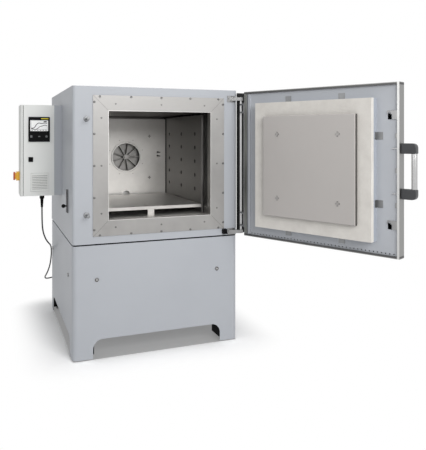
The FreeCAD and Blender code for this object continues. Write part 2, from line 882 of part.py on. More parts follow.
def heaters():
    """Hairpin heating tubes that hang from the ceiling, three in each side duct."""
    body = place(new_body("heaters"), chamber_x, mm.heater_first_y, heater_bottom)
    middle = (baffle_half_width + mm.liner_sheet + liner_half_width) / 2
    bend = mm.heater_bend
    rise = liner_ceiling - heater_bottom
    for side in (1, -1):
        profile = new_sketch(body, "XY", rise)
        draw(profile, [disc(side * middle, -bend, mm.heater_radius)])
        path = new_sketch(body, "YZ", side * middle)
        left = -number(bend)
        right = number(bend)
        top = number(rise)
        path.addGeometry([
            Part.LineSegment(Vector(left, top, 0), Vector(left, 0, 0)),
            Part.ArcOfCircle(Part.Circle(Vector(0, 0, 0), Vector(0, 0, 1), right), math.pi, 2 * math.pi),
            Part.LineSegment(Vector(right, 0, 0), Vector(right, top, 0)),
        ], False)
        path.addConstraint([
            Sketcher.Constraint("Coincident", 1, 3, -1, 1),
            Sketcher.Constraint("Tangent", 0, 2, 1, 1),
            Sketcher.Constraint("Tangent", 1, 2, 2, 1),
            Sketcher.Constraint("Vertical", 0),
            Sketcher.Constraint("Vertical", 2),
            Sketcher.Constraint("Radius", 1, right),
            Sketcher.Constraint("DistanceY", -1, 1, 0, 1, top),
            Sketcher.Constraint("DistanceY", -1, 1, 2, 2, top),
        ])
        for index, size in ((5, bend), (6, rise), (7, rise)):
            path.setExpression("Constraints[%d]" % index, size.text)
        tube = body.newObject("PartDesign::AdditivePipe", "tube")
        tube.Profile = profile
        tube.Spine = (path, ["Edge1", "Edge2", "Edge3"])
        row = body.newObject("PartDesign::LinearPattern", "row")
        row.Originals = [tube]
        row.Direction = (profile, ["V_Axis"])
        bind(row, "Length", mm.heater_pitch_y * 2)
        row.Occurrences = 3
        body.Tip = row
    return body


def thermocouples():
    """Two probes through the back wall, with their connection heads outside."""
    body = place(new_body("thermocouples"))
    spots = [(probe_x, probe_z), (probe_x, probe_z + mm.probe_pitch)]
    tip = rear_baffle_y - mm.probe_reach
    pad(body, "XZ", [disc(x, z, mm.probe_radius) for x, z in spots], tip, mm.cabinet_depth - tip)
    pad(body, "XZ", [disc(x, z, mm.probe_pitch * 0.4) for x, z in spots], mm.cabinet_depth, 24)
    return body


def air_pipes():
    """Exhaust tube at the back, with its flange inside, and fresh air tube behind the slider."""
    body = place(new_body("air_pipes"))
    start = rear_baffle_y - 4
    x = chamber_x
    z = exhaust_z
    pad(body, "XZ", [disc(x, z, mm.exhaust_flange), disc(x, z, mm.exhaust_bore)], start, 4)
    tube = [disc(x, z, mm.exhaust_radius - 0.3), disc(x, z, mm.exhaust_bore)]
    pad(body, "XZ", tube, start, mm.cabinet_depth + 40 - start)
    outside = mm.inlet_bore + mm.liner_sheet - 0.3
    fresh = [disc(mm.slider_y, inlet_z, outside), disc(mm.slider_y, inlet_z, mm.inlet_bore)]
    pad(body, "YZ", fresh, 0, chamber_x - liner_half_width)
    return body


def shelf_supports():
    """Two angle rails on the side air guides and a folded bracket under the shelf's front."""
    body = place(new_body("shelf_supports"))
    wall = mm.shelf_sheet
    loops = []
    for side in (1, -1):
        face = chamber_x + side * baffle_half_width
        loops.append([
            (face, shelf_bottom - mm.rail_leg), (face, shelf_bottom),
            (face - side * mm.rail_leg, shelf_bottom),
            (face - side * mm.rail_leg, shelf_bottom - wall), (face - side * wall, shelf_bottom - wall),
            (face - side * wall, shelf_bottom - mm.rail_leg),
        ])
    pad(body, "XZ", loops, mm.rail_front, shelf_back - mm.rail_front)
    front = mm.shelf_front + 5
    leg = front + mm.rail_leg + 10
    outline = [
        (front, liner_floor), (leg, liner_floor), (leg, liner_floor + wall),
        (front + wall, liner_floor + wall), (front + wall, shelf_bottom - wall),
        (leg, shelf_bottom - wall), (leg, shelf_bottom), (front, shelf_bottom),
    ]
    pad(body, "YZ", [outline], (chamber_x - mm.post_shift) - mm.post_width / 2, mm.post_width)
    return body


def shelf():
    """Sliding shelf plate with a folded front lip."""
    half = baffle_half_width - mm.shelf_side_gap
    body = place(new_body("shelf"), chamber_x, 0, 0)
    wall = mm.shelf_sheet
    front = mm.shelf_front
    outline = [
        (front, shelf_top - mm.shelf_lip), (front + wall, shelf_top - mm.shelf_lip),
        (front + wall, shelf_bottom), (shelf_back, shelf_bottom), (shelf_back, shelf_top),
        (front, shelf_top),
    ]
    pad(body, "YZ", [outline], -half, half * 2)
    return body


# Fan and motor

wheel_front = rear_baffle_y + mm.liner_sheet + mm.wheel_front_gap
wheel_back = wheel_front + mm.blade_depth
motor_start = mm.cabinet_depth + mm.motor_gap
shaft_end = motor_start + mm.shaft_grip


def fan_wheel():
    """Radial fan wheel: a back disc with nine straight blades round a hub."""
    body = place(new_body("fan_wheel"), chamber_x, 0, fan_z)
    half = mm.blade_sheet / 2
    pad(body, "XZ", [disc(0, 0, mm.wheel_radius)], wheel_back, mm.blade_sheet)
    pad(body, "XZ", [disc(0, 0, mm.hub_radius)], wheel_front, mm.blade_depth)
    blade = pad(body, "XZ", [rectangle(mm.hub_radius - 4, -half, mm.wheel_radius - 3, half)],
                wheel_front, mm.blade_depth)
    ring = body.newObject("PartDesign::PolarPattern", "blades")
    ring.Originals = [blade]
    ring.Axis = ([item for item in body.Origin.OriginFeatures if item.Role == "Y_Axis"][0], [""])
    ring.Angle = 360
    ring.Occurrences = 9
    body.Tip = ring
    cut(body, "XZ", [disc(0, 0, mm.shaft_radius)])
    return body


def fan_shaft():
    """Shaft with the hexagon head that clamps the wheel, and a disc that sheds heat."""
    body = place(new_body("fan_shaft"), chamber_x, 0, fan_z)
    pad(body, "XZ", [disc(0, 0, mm.shaft_radius)], wheel_front, shaft_end - wheel_front)
    corners = []
    for step in range(6):
        angle = math.radians(60 * step)
        corners.append((mm.shaft_radius * 1.3 * math.cos(angle), mm.shaft_radius * 1.3 * math.sin(angle)))
    pad(body, "XZ", [corners], wheel_front, 7, backwards=True)
    middle = mm.cabinet_depth + mm.motor_gap / 2
    pad(body, "XZ", [disc(0, 0, mm.cooling_disc_radius)], middle, 3)
    pad(body, "XZ", [disc(0, 0, mm.shaft_radius * 1.8)], middle, 11)
    return body


def shaft_bush():
    """Bearing bush of the fan's shaft in the rear panel."""
    body = place(new_body("shaft_bush"), chamber_x, 0, fan_z)
    pad(body, "XZ", [disc(0, 0, mm.bush_radius)], case_back, mm.casing_sheet)
    pad(body, "XZ", [disc(0, 0, mm.bush_radius + 8)], mm.cabinet_depth, 6)
    cut(body, "XZ", [disc(0, 0, mm.shaft_radius + mm.shaft_clearance)])
    return body


def motor_post_spots():
    spread = mm.motor_post_spread
    return [(side * spread, up * spread) for side in (1, -1) for up in (1, -1)]


def motor_posts():
    body = place(new_body("motor_posts"), chamber_x, 0, fan_z)
    discs = [disc(x, z, mm.motor_post_radius) for x, z in motor_post_spots()]
    pad(body, "XZ", discs, mm.cabinet_depth, mm.motor_gap)
    return body


def fan_motor():
    """Flange motor with cooling ribs and a bore for the shaft."""
    body = place(new_body("fan_motor"), chamber_x, 0, fan_z)
    start = motor_start
    half = mm.motor_flange / 2
    flange = rounded_rectangle(-half, -half, half, half, mm.handle_round)
    pad(body, "XZ", [flange], start, mm.motor_flange_sheet)
    pad(body, "XZ", [disc(0, 0, mm.motor_radius - 8)], start, mm.motor_length)
    fin = rectangle(mm.motor_radius - 14, -2, mm.motor_radius, 2)
    rib = pad(body, "XZ", [fin], start, mm.motor_length - 20)
    ring = body.newObject("PartDesign::PolarPattern", "ribs")
    ring.Originals = [rib]
    ring.Axis = ([item for item in body.Origin.OriginFeatures if item.Role == "Y_Axis"][0], [""])
    ring.Angle = 360
    ring.Occurrences = 16
    body.Tip = ring
    cut(body, "XZ", [disc(0, 0, mm.shaft_radius + mm.shaft_clearance)], start, shaft_end + 2 - start)
    return body


def motor_hood():
    """Rear hood over the motor, folded, with vent slots in both sides."""
    body = place(new_body("motor_hood"), chamber_x, mm.cabinet_depth, fan_z)
    half = mm.hood_half_width
    inside = half - mm.liner_sheet
    bend = mm.hood_corner
    small = bend - mm.liner_sheet
    pad(body, "XZ", [rounded_rectangle(-half, -half, half, half, bend)], 0, mm.hood_depth)
    hollow = rounded_rectangle(-inside, -inside, inside, inside, small)
    cut(body, "XZ", [hollow], 0, mm.hood_depth - mm.liner_sheet)
    slots = []
    for step in range(7):
        z = half * (step - 3) * 0.22
        slots.append(rectangle(mm.hood_depth * 0.3, z - 4, mm.hood_depth * 0.8, z + 4))
    cut(body, "YZ", slots)
    return body


# Door hardware on the cabinet

def strikers():
    """Headed pins on the front panel that the door's latch bar grips."""
    body = place(new_body("strikers"))
    spots = [(latch_x, z) for z in latch_heights]
    neck_end = mm.striker_reach - 7
    pad(body, "XZ", [disc(x, z, mm.striker_head * 1.9) for x, z in spots], 0, 3, backwards=True)
    pad(body, "XZ", [disc(x, z, mm.striker_neck) for x, z in spots], -3, neck_end - 3, backwards=True)
    pad(body, "XZ", [disc(x, z, mm.striker_head) for x, z in spots], -neck_end, 7, backwards=True)
    return body


def hinge_brackets():
    """Two arms on the front panel for the post, and four links from the post to the rod."""
    body = place(new_body("hinge_brackets"))
    ring = mm.post_radius * 2
    foot_left = arm_foot_left
    foot_right = foot_left + mm.arm_foot_width
    heel = mm.arm_foot_sheet * 1.6
    arm = [
        (post_x, post_y - ring, ring), (post_x + ring, post_y, ring), (post_x, post_y + ring),
        (foot_right, 0), (foot_left + heel, 0), (foot_left + heel, -heel),
    ]
    for z in (arm_low_z, arm_high_z):
        pad(body, "XY", [arm], z - mm.arm_sheet / 2, mm.arm_sheet)
    feet = [
        rectangle(foot_left, z - mm.arm_sheet, foot_right, z + mm.arm_sheet)
        for z in (arm_low_z, arm_high_z)
    ]
    pad(body, "XZ", feet, 0, mm.arm_foot_sheet, backwards=True)
    eye = mm.link_radius
    link = [
        (hinge_x - eye, rod_y, eye), (hinge_x, rod_y - eye, eye), (hinge_x + eye, rod_y),
        (post_x + eye, post_y, eye), (post_x, post_y + eye, eye), (post_x - eye, post_y),
    ]
    for z in (link_1_z, link_2_z, link_3_z, link_4_z):
        pad(body, "XY", [link], z - mm.link_sheet / 2, mm.link_sheet)
    bores = [
        disc(hinge_x, rod_y, mm.rod_radius + mm.rod_clearance),
        disc(post_x, post_y, mm.post_radius + mm.rod_clearance),
    ]
    cut(body, "XY", bores)
    return body


def hinge_rods():
    """Post in the arms and pivot rod in the links."""
    body = place(new_body("hinge_rods"))
    low = arm_low_z - mm.arm_sheet / 2 - 2
    high = arm_high_z + mm.arm_sheet / 2 + 2
    pad(body, "XY", [disc(post_x, post_y, mm.post_radius)], low, high - low)
    low = link_1_z - mm.link_sheet
    high = link_4_z + mm.link_sheet
    pad(body, "XY", [disc(hinge_x, rod_y, mm.rod_radius)], low, high - low)
    return body


def contact_switch():
    """Housing of the door contact switch beside the lower hinge."""
    body = place(new_body("contact_switch"), contact_x, 0, contact_z)
    pad(body, "XZ", [rectangle(-12, -14, 12, 14)], 0, mm.contact_proud, backwards=True)
    bore = disc(0, -mm.plunger_drop, mm.plunger_radius + 0.1)
    cut(body, "XZ", [bore], -mm.contact_proud, mm.contact_proud - 4)
    return body


def contact_plunger():
    body = place(new_body("contact_plunger"), contact_x, 0, contact_z)
    tip = mm.contact_proud + mm.plunger_reach
    pad(body, "XZ", [disc(0, -mm.plunger_drop, mm.plunger_radius)], -tip, tip - 12)
    return body


# Door

def door_shell():
    """Door casing: a folded tray with a narrow return lip all round."""
    body = hang_on_door(new_body("door_shell"))
    wall = mm.door_sheet
    pad(body, "XZ", [rectangle(door_far, door_bottom, door_near, door_top)], door_skin, mm.door_depth)
    round_edges(body, 5, lambda box, length: near(box.YMin, door_skin) and near(box.YMax, door_skin))
    for inset, start, depth in (
        (mm.door_lip, mm.lip_ahead, wall),
        (wall, mm.lip_ahead - wall, mm.door_depth - wall * 2),
    ):
        outline = rectangle(
            door_far + inset, door_bottom + inset, door_near - inset, door_top - inset)
        cut(body, "XZ", [outline], start, depth, backwards=True)
    return body


def door_inner_panel():
    """Recessed panel inside the door, with the latch slots and a row of vent holes along the bottom."""
    body = hang_on_door(new_body("door_inner_panel"))
    wall = mm.door_sheet
    outline = rectangle(
        door_far + wall, door_bottom + wall, door_near - wall, door_top - wall)
    pad(body, "XZ", [outline], panel_face - wall, wall)
    half = mm.slot_width / 2
    slots = [
        rectangle(slot_x - half, z - mm.slot_height / 2, slot_x + half, z + mm.slot_height / 2)
        for z in latch_heights
    ]
    vent_z = door_bottom + mm.door_lip + mm.vent_hole * 2
    vents = [
        disc(door_chamber_x + mm.vent_hole * 6 * step, vent_z, mm.vent_hole)
        for step in range(-21, 22)
    ]
    cut(body, "XZ", slots + vents)
    return body


def door_rectangle(width, height):
    """A rectangle on the door, centred on the chamber's opening."""
    return rectangle(
        door_chamber_x - width / 2, chamber_z - height / 2,
        door_chamber_x + width / 2, chamber_z + height / 2)


def insulation_pan():
    """Tray on the inner panel that carries the insulation board."""
    body = hang_on_door(new_body("insulation_pan"))
    wall = mm.door_sheet
    pad(body, "XZ", [door_rectangle(board_width, board_height)], panel_face, board_back - panel_face)
    inside = door_rectangle(board_width - wall * 2, board_height - wall * 2)
    cut(body, "XZ", [inside], board_back, board_back - panel_face - wall, backwards=True)
    return body


def door_insulation():
    """Rigid fibre board that bears on the collar when the door is closed."""
    body = hang_on_door(new_body("door_insulation"))
    pad(body, "XZ", [door_rectangle(board_width, board_height)], board_back, mm.board_sheet)
    return body


def door_plug():
    """Plate that enters the chamber's mouth."""
    body = hang_on_door(new_body("door_plug"))
    pad(body, "XZ", [door_rectangle(plug_width, plug_height)], board_face, mm.plug_sheet)
    face = board_face + mm.plug_sheet
    round_edges(body, 3, lambda box, length: near(box.YMin, face) and near(box.YMax, face))
    return body


def plug_fasteners():
    body = hang_on_door(new_body("plug_fasteners"))
    marks = [
        cross(door_chamber_x + side * mm.plug_mark_x, chamber_z + up * mm.plug_mark_z)
        for side in (1, -1)
        for up in (1, -1)
    ]
    pad(body, "XZ", marks, board_face + mm.plug_sheet, 3)
    return body


def pan_clips():
    """Angle clips that hold the tray on the inner panel, two on each side."""
    body = hang_on_door(new_body("pan_clips"))
    half = mm.clip_width / 2
    wall = mm.door_sheet
    feet = []
    legs = []
    for side in (1, -1):
        edge_x = door_chamber_x + side * board_width / 2
        edge_z = chamber_z + side * board_height / 2
        for step in (1, -1):
            z = chamber_z + step * mm.clip_spread
            x = door_chamber_x + step * mm.clip_spread
            feet.append(rectangle(edge_x, z - half, edge_x + side * mm.clip_reach, z + half))
            legs.append(rectangle(edge_x, z - half, edge_x + side * wall, z + half))
            feet.append(rectangle(x - half, edge_z, x + half, edge_z + side * mm.clip_reach))
            legs.append(rectangle(x - half, edge_z, x + half, edge_z + side * wall))
    pad(body, "XZ", feet, panel_face, wall)
    pad(body, "XZ", legs, panel_face, 18)
    return body


def door_hinges():
    """Two hinge barrels with their leaves on the door's edge, between the links."""
    body = hang_on_door(new_body("door_hinges"))
    half_link = mm.link_sheet / 2
    for low, high in ((link_1_z, link_2_z), (link_3_z, link_4_z)):
        start = low + half_link + 0.3
        length = high - low - mm.link_sheet - 0.6
        pad(body, "XY", [disc(0, 0, mm.barrel_radius)], start, length)
        leaf = rectangle(door_near, -20, door_near + 4, mm.lip_ahead - 6)
        pad(body, "XY", [leaf], start, length)
        pad(body, "XY", [rectangle(door_near + 2, -5, -4, 5)], start, length)
    cut(body, "XY", [disc(0, 0, mm.rod_radius + mm.rod_clearance)])
    return body


grip_x = door_far - mm.handle_reach + mm.grip_radius
handle_middle = mm.lip_ahead - mm.door_depth / 2


def handle_brackets():
    """Two rounded brackets of the pull handle on the door's free edge."""
    body = hang_on_door(new_body("handle_brackets"))
    half = mm.handle_block / 2
    end = door_far - mm.handle_reach
    bend = mm.handle_round
    for up in (1, -1):
        z = handle_z + up * mm.handle_spacing / 2
        outline = [
            (door_far, z - up * half), (door_far, z + up * half),
            (end + bend, z + up * half, bend * up), (end, z + up * (half - bend)), (end, z - up * half),
        ]
        pad(body, "XZ", [outline], handle_middle - mm.handle_width / 2, mm.handle_width)
    return body


def handle_grip():
    body = hang_on_door(new_body("handle_grip"))
    start = handle_z - mm.handle_spacing / 2 + mm.handle_block / 2
    length = mm.handle_spacing - mm.handle_block
    loops = [disc(grip_x, handle_middle, mm.grip_radius), disc(grip_x, handle_middle, mm.grip_radius - 2)]
    pad(body, "XY", loops, start, length)
    return body


def latch_bar():
    """Flat bar under the door's free lip whose two notched fingers drop over the strikers."""
    body = hang_on_door(new_body("latch_bar"))
    outer_edge = door_far + mm.door_sheet + 0.5
    start = panel_face + 0.3
    thickness = mm.latch_sheet
    strip = rectangle(outer_edge, latch_heights[0] - 22, outer_edge + 10, latch_heights[1] + 34)
    pad(body, "XZ", [strip], start, thickness)
    plates = []
    notches = []
    notch = mm.striker_neck + 1.5
    for z in latch_heights:
        plates.append([
            (outer_edge + 2, z - 14), (slot_x - 14, z - 14), (slot_x - 14, z + 10), (slot_x + 10, z + 10),
            (slot_x + 10, z + 28), (outer_edge + 2, z + 28),
        ])
        middle = z + mm.latch_travel
        notches.append([
            (slot_x - notch, z), (slot_x + notch, z), (slot_x + notch, middle, notch),
            (slot_x, middle + notch, notch), (slot_x - notch, middle),
        ])
    pad(body, "XZ", plates, start, thickness)
    cut(body, "XZ", notches)
    return body


def latch_guides():
    """Angle clips on the inner panel that keep the latch bar flat."""
    body = hang_on_door(new_body("latch_guides"))
    edge = door_far + mm.door_sheet + 0.5 + 10.5
    over = panel_face + mm.latch_sheet + 0.5
    outline = [
        (edge, panel_face), (edge + 8, panel_face), (edge + 8, over + 1.2), (edge - 4, over + 1.2),
        (edge - 4, over), (edge, over),
    ]
    for step in (-1, 0, 1):
        pad(body, "XY", [outline], chamber_z + step * mm.clip_spread - 12, 24)
    return body


# Air inlet slider on the left side

def slider_guide():
    """Channel with inturned lips that guides the slider plate."""
    body = place(new_body("slider_guide"), 0, mm.slider_y, slider_bottom)
    half = mm.slider_width / 2
    outline = [
        (0, -half), (0, half), (-8, half), (-8, half - 7), (-6, half - 7), (-6, half - 3), (-3, half - 3),
        (-3, 3 - half), (-6, 3 - half), (-6, 7 - half), (-8, 7 - half), (-8, -half),
    ]
    pad(body, "XY", [outline], 0, mm.slider_height)
    cut(body, "YZ", [disc(0, inlet_z - slider_bottom, mm.inlet_bore)])
    return body


def slider_plate():
    body = place(new_body("slider_plate"), -3.3, mm.slider_y, slider_bottom + 4)
    half = mm.slider_width / 2 - 3.6
    pad(body, "YZ", [rectangle(-half, 0, half, mm.slider_plate)], 0, 2.4, backwards=True)
    return body


def turned(body, plane, points, axis):
    """Adds a solid turned round one of the sketch's own axes, H_Axis or V_Axis."""
    sketch = new_sketch(body, plane, 0)
    draw(sketch, [points])
    feature = body.newObject("PartDesign::Revolution", body.Label + "_turned")
    feature.Profile = sketch
    feature.ReferenceAxis = (sketch, [axis])
    feature.Angle = 360
    return feature


def slider_knob():
    """Ball knob on a stem."""
    body = place(new_body("slider_knob"), -5.7, mm.slider_y, knob_z)
    ball = mm.knob_radius
    centre = -(8 + ball)
    pad(body, "YZ", [disc(0, 0, 4)], 0, 8 + ball, backwards=True)
    turned(body, "XY", [(centre + ball, 0, ball), (centre, ball, ball), (centre - ball, 0)], "H_Axis")
    return body


# Control box on the left side

box_face = mm.box_front + mm.front_panel_sheet
box_back = mm.box_front + mm.box_depth
box_top = mm.box_bottom + mm.box_height


def control_housing():
    """Housing of the control box: open at the front, its rounded left side standing beside the panel."""
    body = place(new_body("control_housing"), 0, 0, mm.box_bottom)
    left = -mm.box_left
    right = -mm.box_right
    bend = mm.box_round
    wall = mm.box_sheet
    joint = -(mm.front_panel_left + mm.panel_joint)
    outline = [
        (left, mm.box_front + bend, bend), (left + bend, mm.box_front), (joint, mm.box_front),
        (joint, box_face), (right, box_face), (right, box_back), (left, box_back),
    ]
    pad(body, "XY", [outline], 0, mm.box_height)
    hollow = rectangle(joint + wall, wall, right - wall, mm.box_height - wall)
    cut(body, "XZ", [hollow], box_face, mm.box_depth - mm.front_panel_sheet - wall)
    cut(body, "XY", [disc(mm.gland_x, mm.gland_y, mm.gland_nut * 0.6)], 0, wall)
    return body


def control_panel():
    """Front panel of the control box with the grille's opening."""
    body = place(new_body("control_panel"))
    outline = rectangle(-mm.front_panel_left, mm.box_bottom, -mm.box_right, box_top)
    pad(body, "XZ", [outline], mm.box_front, mm.front_panel_sheet)
    hole = rectangle(
        6 - mm.vent_left, vent_bottom + 6, mm.vent_width - mm.vent_left - 6,
        vent_bottom + mm.vent_height - 6)
    cut(body, "XZ", [hole])
    return body


def vent_grille():
    """Louvred grille of the control box."""
    body = place(new_body("vent_grille"), -mm.vent_left, mm.box_front, vent_bottom)
    pad(body, "XZ", [rectangle(0, 0, mm.vent_width, mm.vent_height)], 0, mm.vent_proud, backwards=True)
    face = -mm.vent_proud
    round_edges(body, 3, lambda box, length: near(box.YMin, face) and near(box.YMax, face))
    slots = []
    for step in range(9):
        z = mm.vent_height * (step + 1) / 10
        slots.append(rectangle(9, z - 3, mm.vent_width - 9, z + 3))
    cut(body, "XZ", slots)
    return body


def display_bezel():
    """Dark frame of the controller with its window."""
    body = place(new_body("display_bezel"), -mm.display_left, mm.box_front, display_bottom)
    outline = rounded_rectangle(0, 0, mm.display_width, mm.display_height, mm.door_lip / 3)
    pad(body, "XZ", [outline], 0, 7, backwards=True)
    left = (mm.display_width - mm.screen_width) / 2
    bottom = mm.display_height - mm.screen_height - left * 2
    window = rectangle(left, bottom, left + mm.screen_width, bottom + mm.screen_height)
    cut(body, "XZ", [window], -7, 5)
    return body


def display_screen():
    left = (mm.display_width - mm.screen_width) / 2
    bottom = mm.display_height - mm.screen_height - left * 2
    body = place(new_body("display_screen"), -mm.display_left, mm.box_front, display_bottom)
    outline = rectangle(
        left + 0.3, bottom + 0.3, left + mm.screen_width - 0.3, bottom + mm.screen_height - 0.3)
    pad(body, "XZ", [outline], -2, 3, backwards=True)
    return body


def service_port():
    """Square port with a flap in the front panel."""
    body = place(new_body("service_port"), -mm.display_left, mm.box_front, port_bottom)
    pad(body, "XZ", [rectangle(0, 0, mm.port_width, mm.port_height)], 0, 3, backwards=True)
    inner = rectangle(4, 4, mm.port_width - 4, mm.port_height - 4)
    cut(body, "XZ", [inner], -3, 1)
    return body


def switch_plate():
    """Square plate of the main switch on the box's left side."""
    body = place(new_body("switch_plate"), -mm.box_left, mm.switch_y, switch_z)
    half = mm.switch_plate / 2
    outline = rounded_rectangle(-half, -half, half, half, mm.door_lip / 2)
    pad(body, "YZ", [outline], 0, mm.switch_plate_sheet, backwards=True)
    cut(body, "YZ", [disc(0, 0, 6)], -mm.switch_plate_sheet, mm.switch_plate_sheet - 1)
    return body


def main_switch():
    """Rotary main switch: a round base with a raised grip across it and a stub axle."""
    face = mm.switch_plate_sheet + 0.3
    body = place(new_body("main_switch"), -mm.box_left, mm.switch_y, switch_z)
    radius = mm.switch_knob_radius
    pad(body, "YZ", [disc(0, 0, radius)], -face, 4, backwards=True)
    grip = rounded_rectangle(-7, -radius * 1.3, 7, radius * 1.3, mm.door_lip / 3)
    pad(body, "YZ", [grip], -face - 4, mm.switch_knob_proud - 4, backwards=True)
    pad(body, "YZ", [disc(0, 0, 5.9)], -face, 4)
    return body


def box_channel():
    """Full-height channel that fixes the control box to the cabinet's side."""
    body = place(new_body("box_channel"), 0, mm.box_front + 6, mm.box_bottom)
    wall = mm.casing_sheet
    left = -mm.box_right
    deep = mm.box_depth * 0.7
    outline = [
        (left, 0), (0, 0), (0, deep), (-wall, deep), (-wall, wall), (left + wall, wall),
        (left + wall, deep), (left, deep),
    ]
    pad(body, "XY", [outline], 0, mm.box_height)
    return body


# Power cord

gland_end = mm.box_bottom - mm.gland_length


def cord_glands():
    """Tapered strain relief under the control box and cord entry at the back of the base."""
    body = place(new_body("cord_glands"))
    top = mm.box_bottom
    nut = mm.gland_nut
    sleeve = mm.gland_nut * 0.6
    x = mm.gland_x
    profile = [
        (x, gland_end), (x + sleeve, gland_end), (x + sleeve + 1.5, top - 24), (x + nut, top - 24),
        (x + nut, top - 8), (x + nut + 2, top - 8), (x + nut + 2, top), (x + sleeve - 0.3, top),
        (x + sleeve - 0.3, top + 6), (x, top + 6),
    ]
    sketch = new_sketch(body, "XZ", mm.gland_y)
    draw(sketch, [profile])
    relief = body.newObject("PartDesign::Revolution", "relief")
    relief.Profile = sketch
    relief.ReferenceAxis = (sketch, ["Edge%d" % len(profile)])
    relief.Angle = 360
    cut(body, "XY", [disc(x, mm.gland_y, mm.gland_bore)], gland_end, 22)
    entry = (mm.base_gland_x, mm.base_gland_z)
    back = mm.cabinet_depth
    pad(body, "XZ", [disc(*entry, nut + 2)], back, 6)
    pad(body, "XZ", [disc(*entry, nut - 2), disc(*entry, mm.gland_bore)], back + 6, mm.base_gland_length - 6)
    return body


def cord_route():
    """Turning points of the cord, from the strain relief round to the back of the base."""
    x = number(mm.gland_x)
    y = number(mm.gland_y)
    z = number(gland_end)
    back = number(mm.cabinet_depth)
    entry_x = number(mm.base_gland_x)
    entry_z = number(mm.base_gland_z)
    step = number(mm.cord_step)
    return [
        Vector(x, y, z + step * 2.1), Vector(x, y, z - step * 9.8),
        Vector(x + step * 1.1, y + step * 4.5, z - step * 16.6),
        Vector(x + step * 3.6, y + step * 13, z - step * 22.6),
        Vector(x + step * 6.1, y + step * 22.5, z - step * 26.6),
        Vector(x + step * 8.3, y + step * 32.5, z - step * 29.8),
        Vector(-step * 1.4, back - step * 11.5, entry_z + step * 22),
        Vector(-step * 0.9, back - step * 5.5, entry_z + step * 15.4),
        Vector(-step * 1.4, back - step * 1.5, entry_z + step * 8),
        Vector(-step * 3, back + step * 2.5, entry_z + step * 1.8),
        Vector(-step * 4.5, back + step * 8.1, entry_z - step * 2.8),
        Vector(entry_x - step * 16.4, back + step * 12.5, entry_z - step * 4.6),
        Vector(entry_x - step * 9, back + step * 13.5, entry_z - step * 3.2),
        Vector(entry_x - step * 2.8, back + step * 11.3, entry_z - step * 1.3),
        Vector(entry_x, back + step * 6, entry_z),
        Vector(entry_x, back + step * 0.8, entry_z),
    ]


def power_cord():
    """Round cord: straight runs joined by arcs that touch both of them."""
    route = cord_route()
    edges = []
    start = route[0]
    for before, corner, after in zip(route, route[1:], route[2:]):
        arriving = corner - before
        leaving = after - corner
        half_turn = arriving.getAngle(leaving) / 2
        setback = 0.45 * min(arriving.Length, leaving.Length)
        arriving.normalize()
        leaving.normalize()
        entry = corner - arriving * setback
        leave = corner + leaving * setback
        bulge = (leaving - arriving).normalize()
        radius = setback / math.tan(half_turn)
        middle = corner + bulge * (radius / math.cos(half_turn) - radius)
        edges.append(Part.LineSegment(start, entry).toShape())
        edges.append(Part.Arc(entry, middle, leave).toShape())
        start = leave
    edges.append(Part.LineSegment(start, route[-1]).toShape())
    spine = Part.Wire(edges)
    radius = number(mm.cord_radius)
    section = Part.Wire(Part.makeCircle(radius, route[0], route[1] - route[0]))
    print("cord length %.0f" % spine.Length)
    cord = doc.addObject("Part::Feature", "power_cord")
    cord.Label = "power_cord"
    cord.Shape = spine.makePipeShell([section], True, False)
    return place(cord)


# Build, check and write

PIECES = [
    base_shell, base_floor, levelling_feet, foot_brackets, panel_locks, seam_spacer,
    front_panel, casing_wrap, rear_panel, insulation_block,
    chamber_liner, throat_liner, collar_frame, collar_screws, side_baffles, heaters,
    rear_baffle, baffle_fixings, fan_inlet_ring, thermocouples, air_pipes, shelf_supports, shelf,
    fan_wheel, fan_shaft, shaft_bush, motor_posts, fan_motor, motor_hood,
    strikers, hinge_brackets, hinge_rods, contact_switch, contact_plunger,
    door_shell, door_inner_panel, insulation_pan, door_insulation, door_plug, plug_fasteners,
    pan_clips, door_hinges, handle_brackets, handle_grip, latch_bar, latch_guides,
    slider_guide, slider_plate, slider_knob,
    control_housing, control_panel, vent_grille, display_bezel, display_screen,
    service_port, switch_plate, main_switch, box_channel, cord_glands, power_cord,
]

pieces = [make() for make in PIECES]
doc.recompute()

for item in doc.Objects:
    if "Invalid" in item.State or "Error" in item.State:
        raise RuntimeError(item.Label + " could not be built")

os.makedirs("parts", exist_ok=True)
for piece in pieces:
    if piece.Shape.isNull() or not piece.Shape.isValid():
        raise RuntimeError(piece.Label + " has no sound shape")
    piece.Shape.exportStep("parts/" + piece.Label + ".step")
    print("%-20s %2d solids %12.0f mm3" % (piece.Label, len(piece.Shape.Solids), piece.Shape.Volume))
print("%d pieces written" % len(pieces))
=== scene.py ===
# %% [markdown]
# A forced convection furnace, dressed for a studio picture.
#
# This notebook adds the camera, the light, the finishes and those small pieces whose shape
# matters more to the eye than to the hand. Every position below is in the CAD frame, whose
# origin lies on the floor under the front left foot.

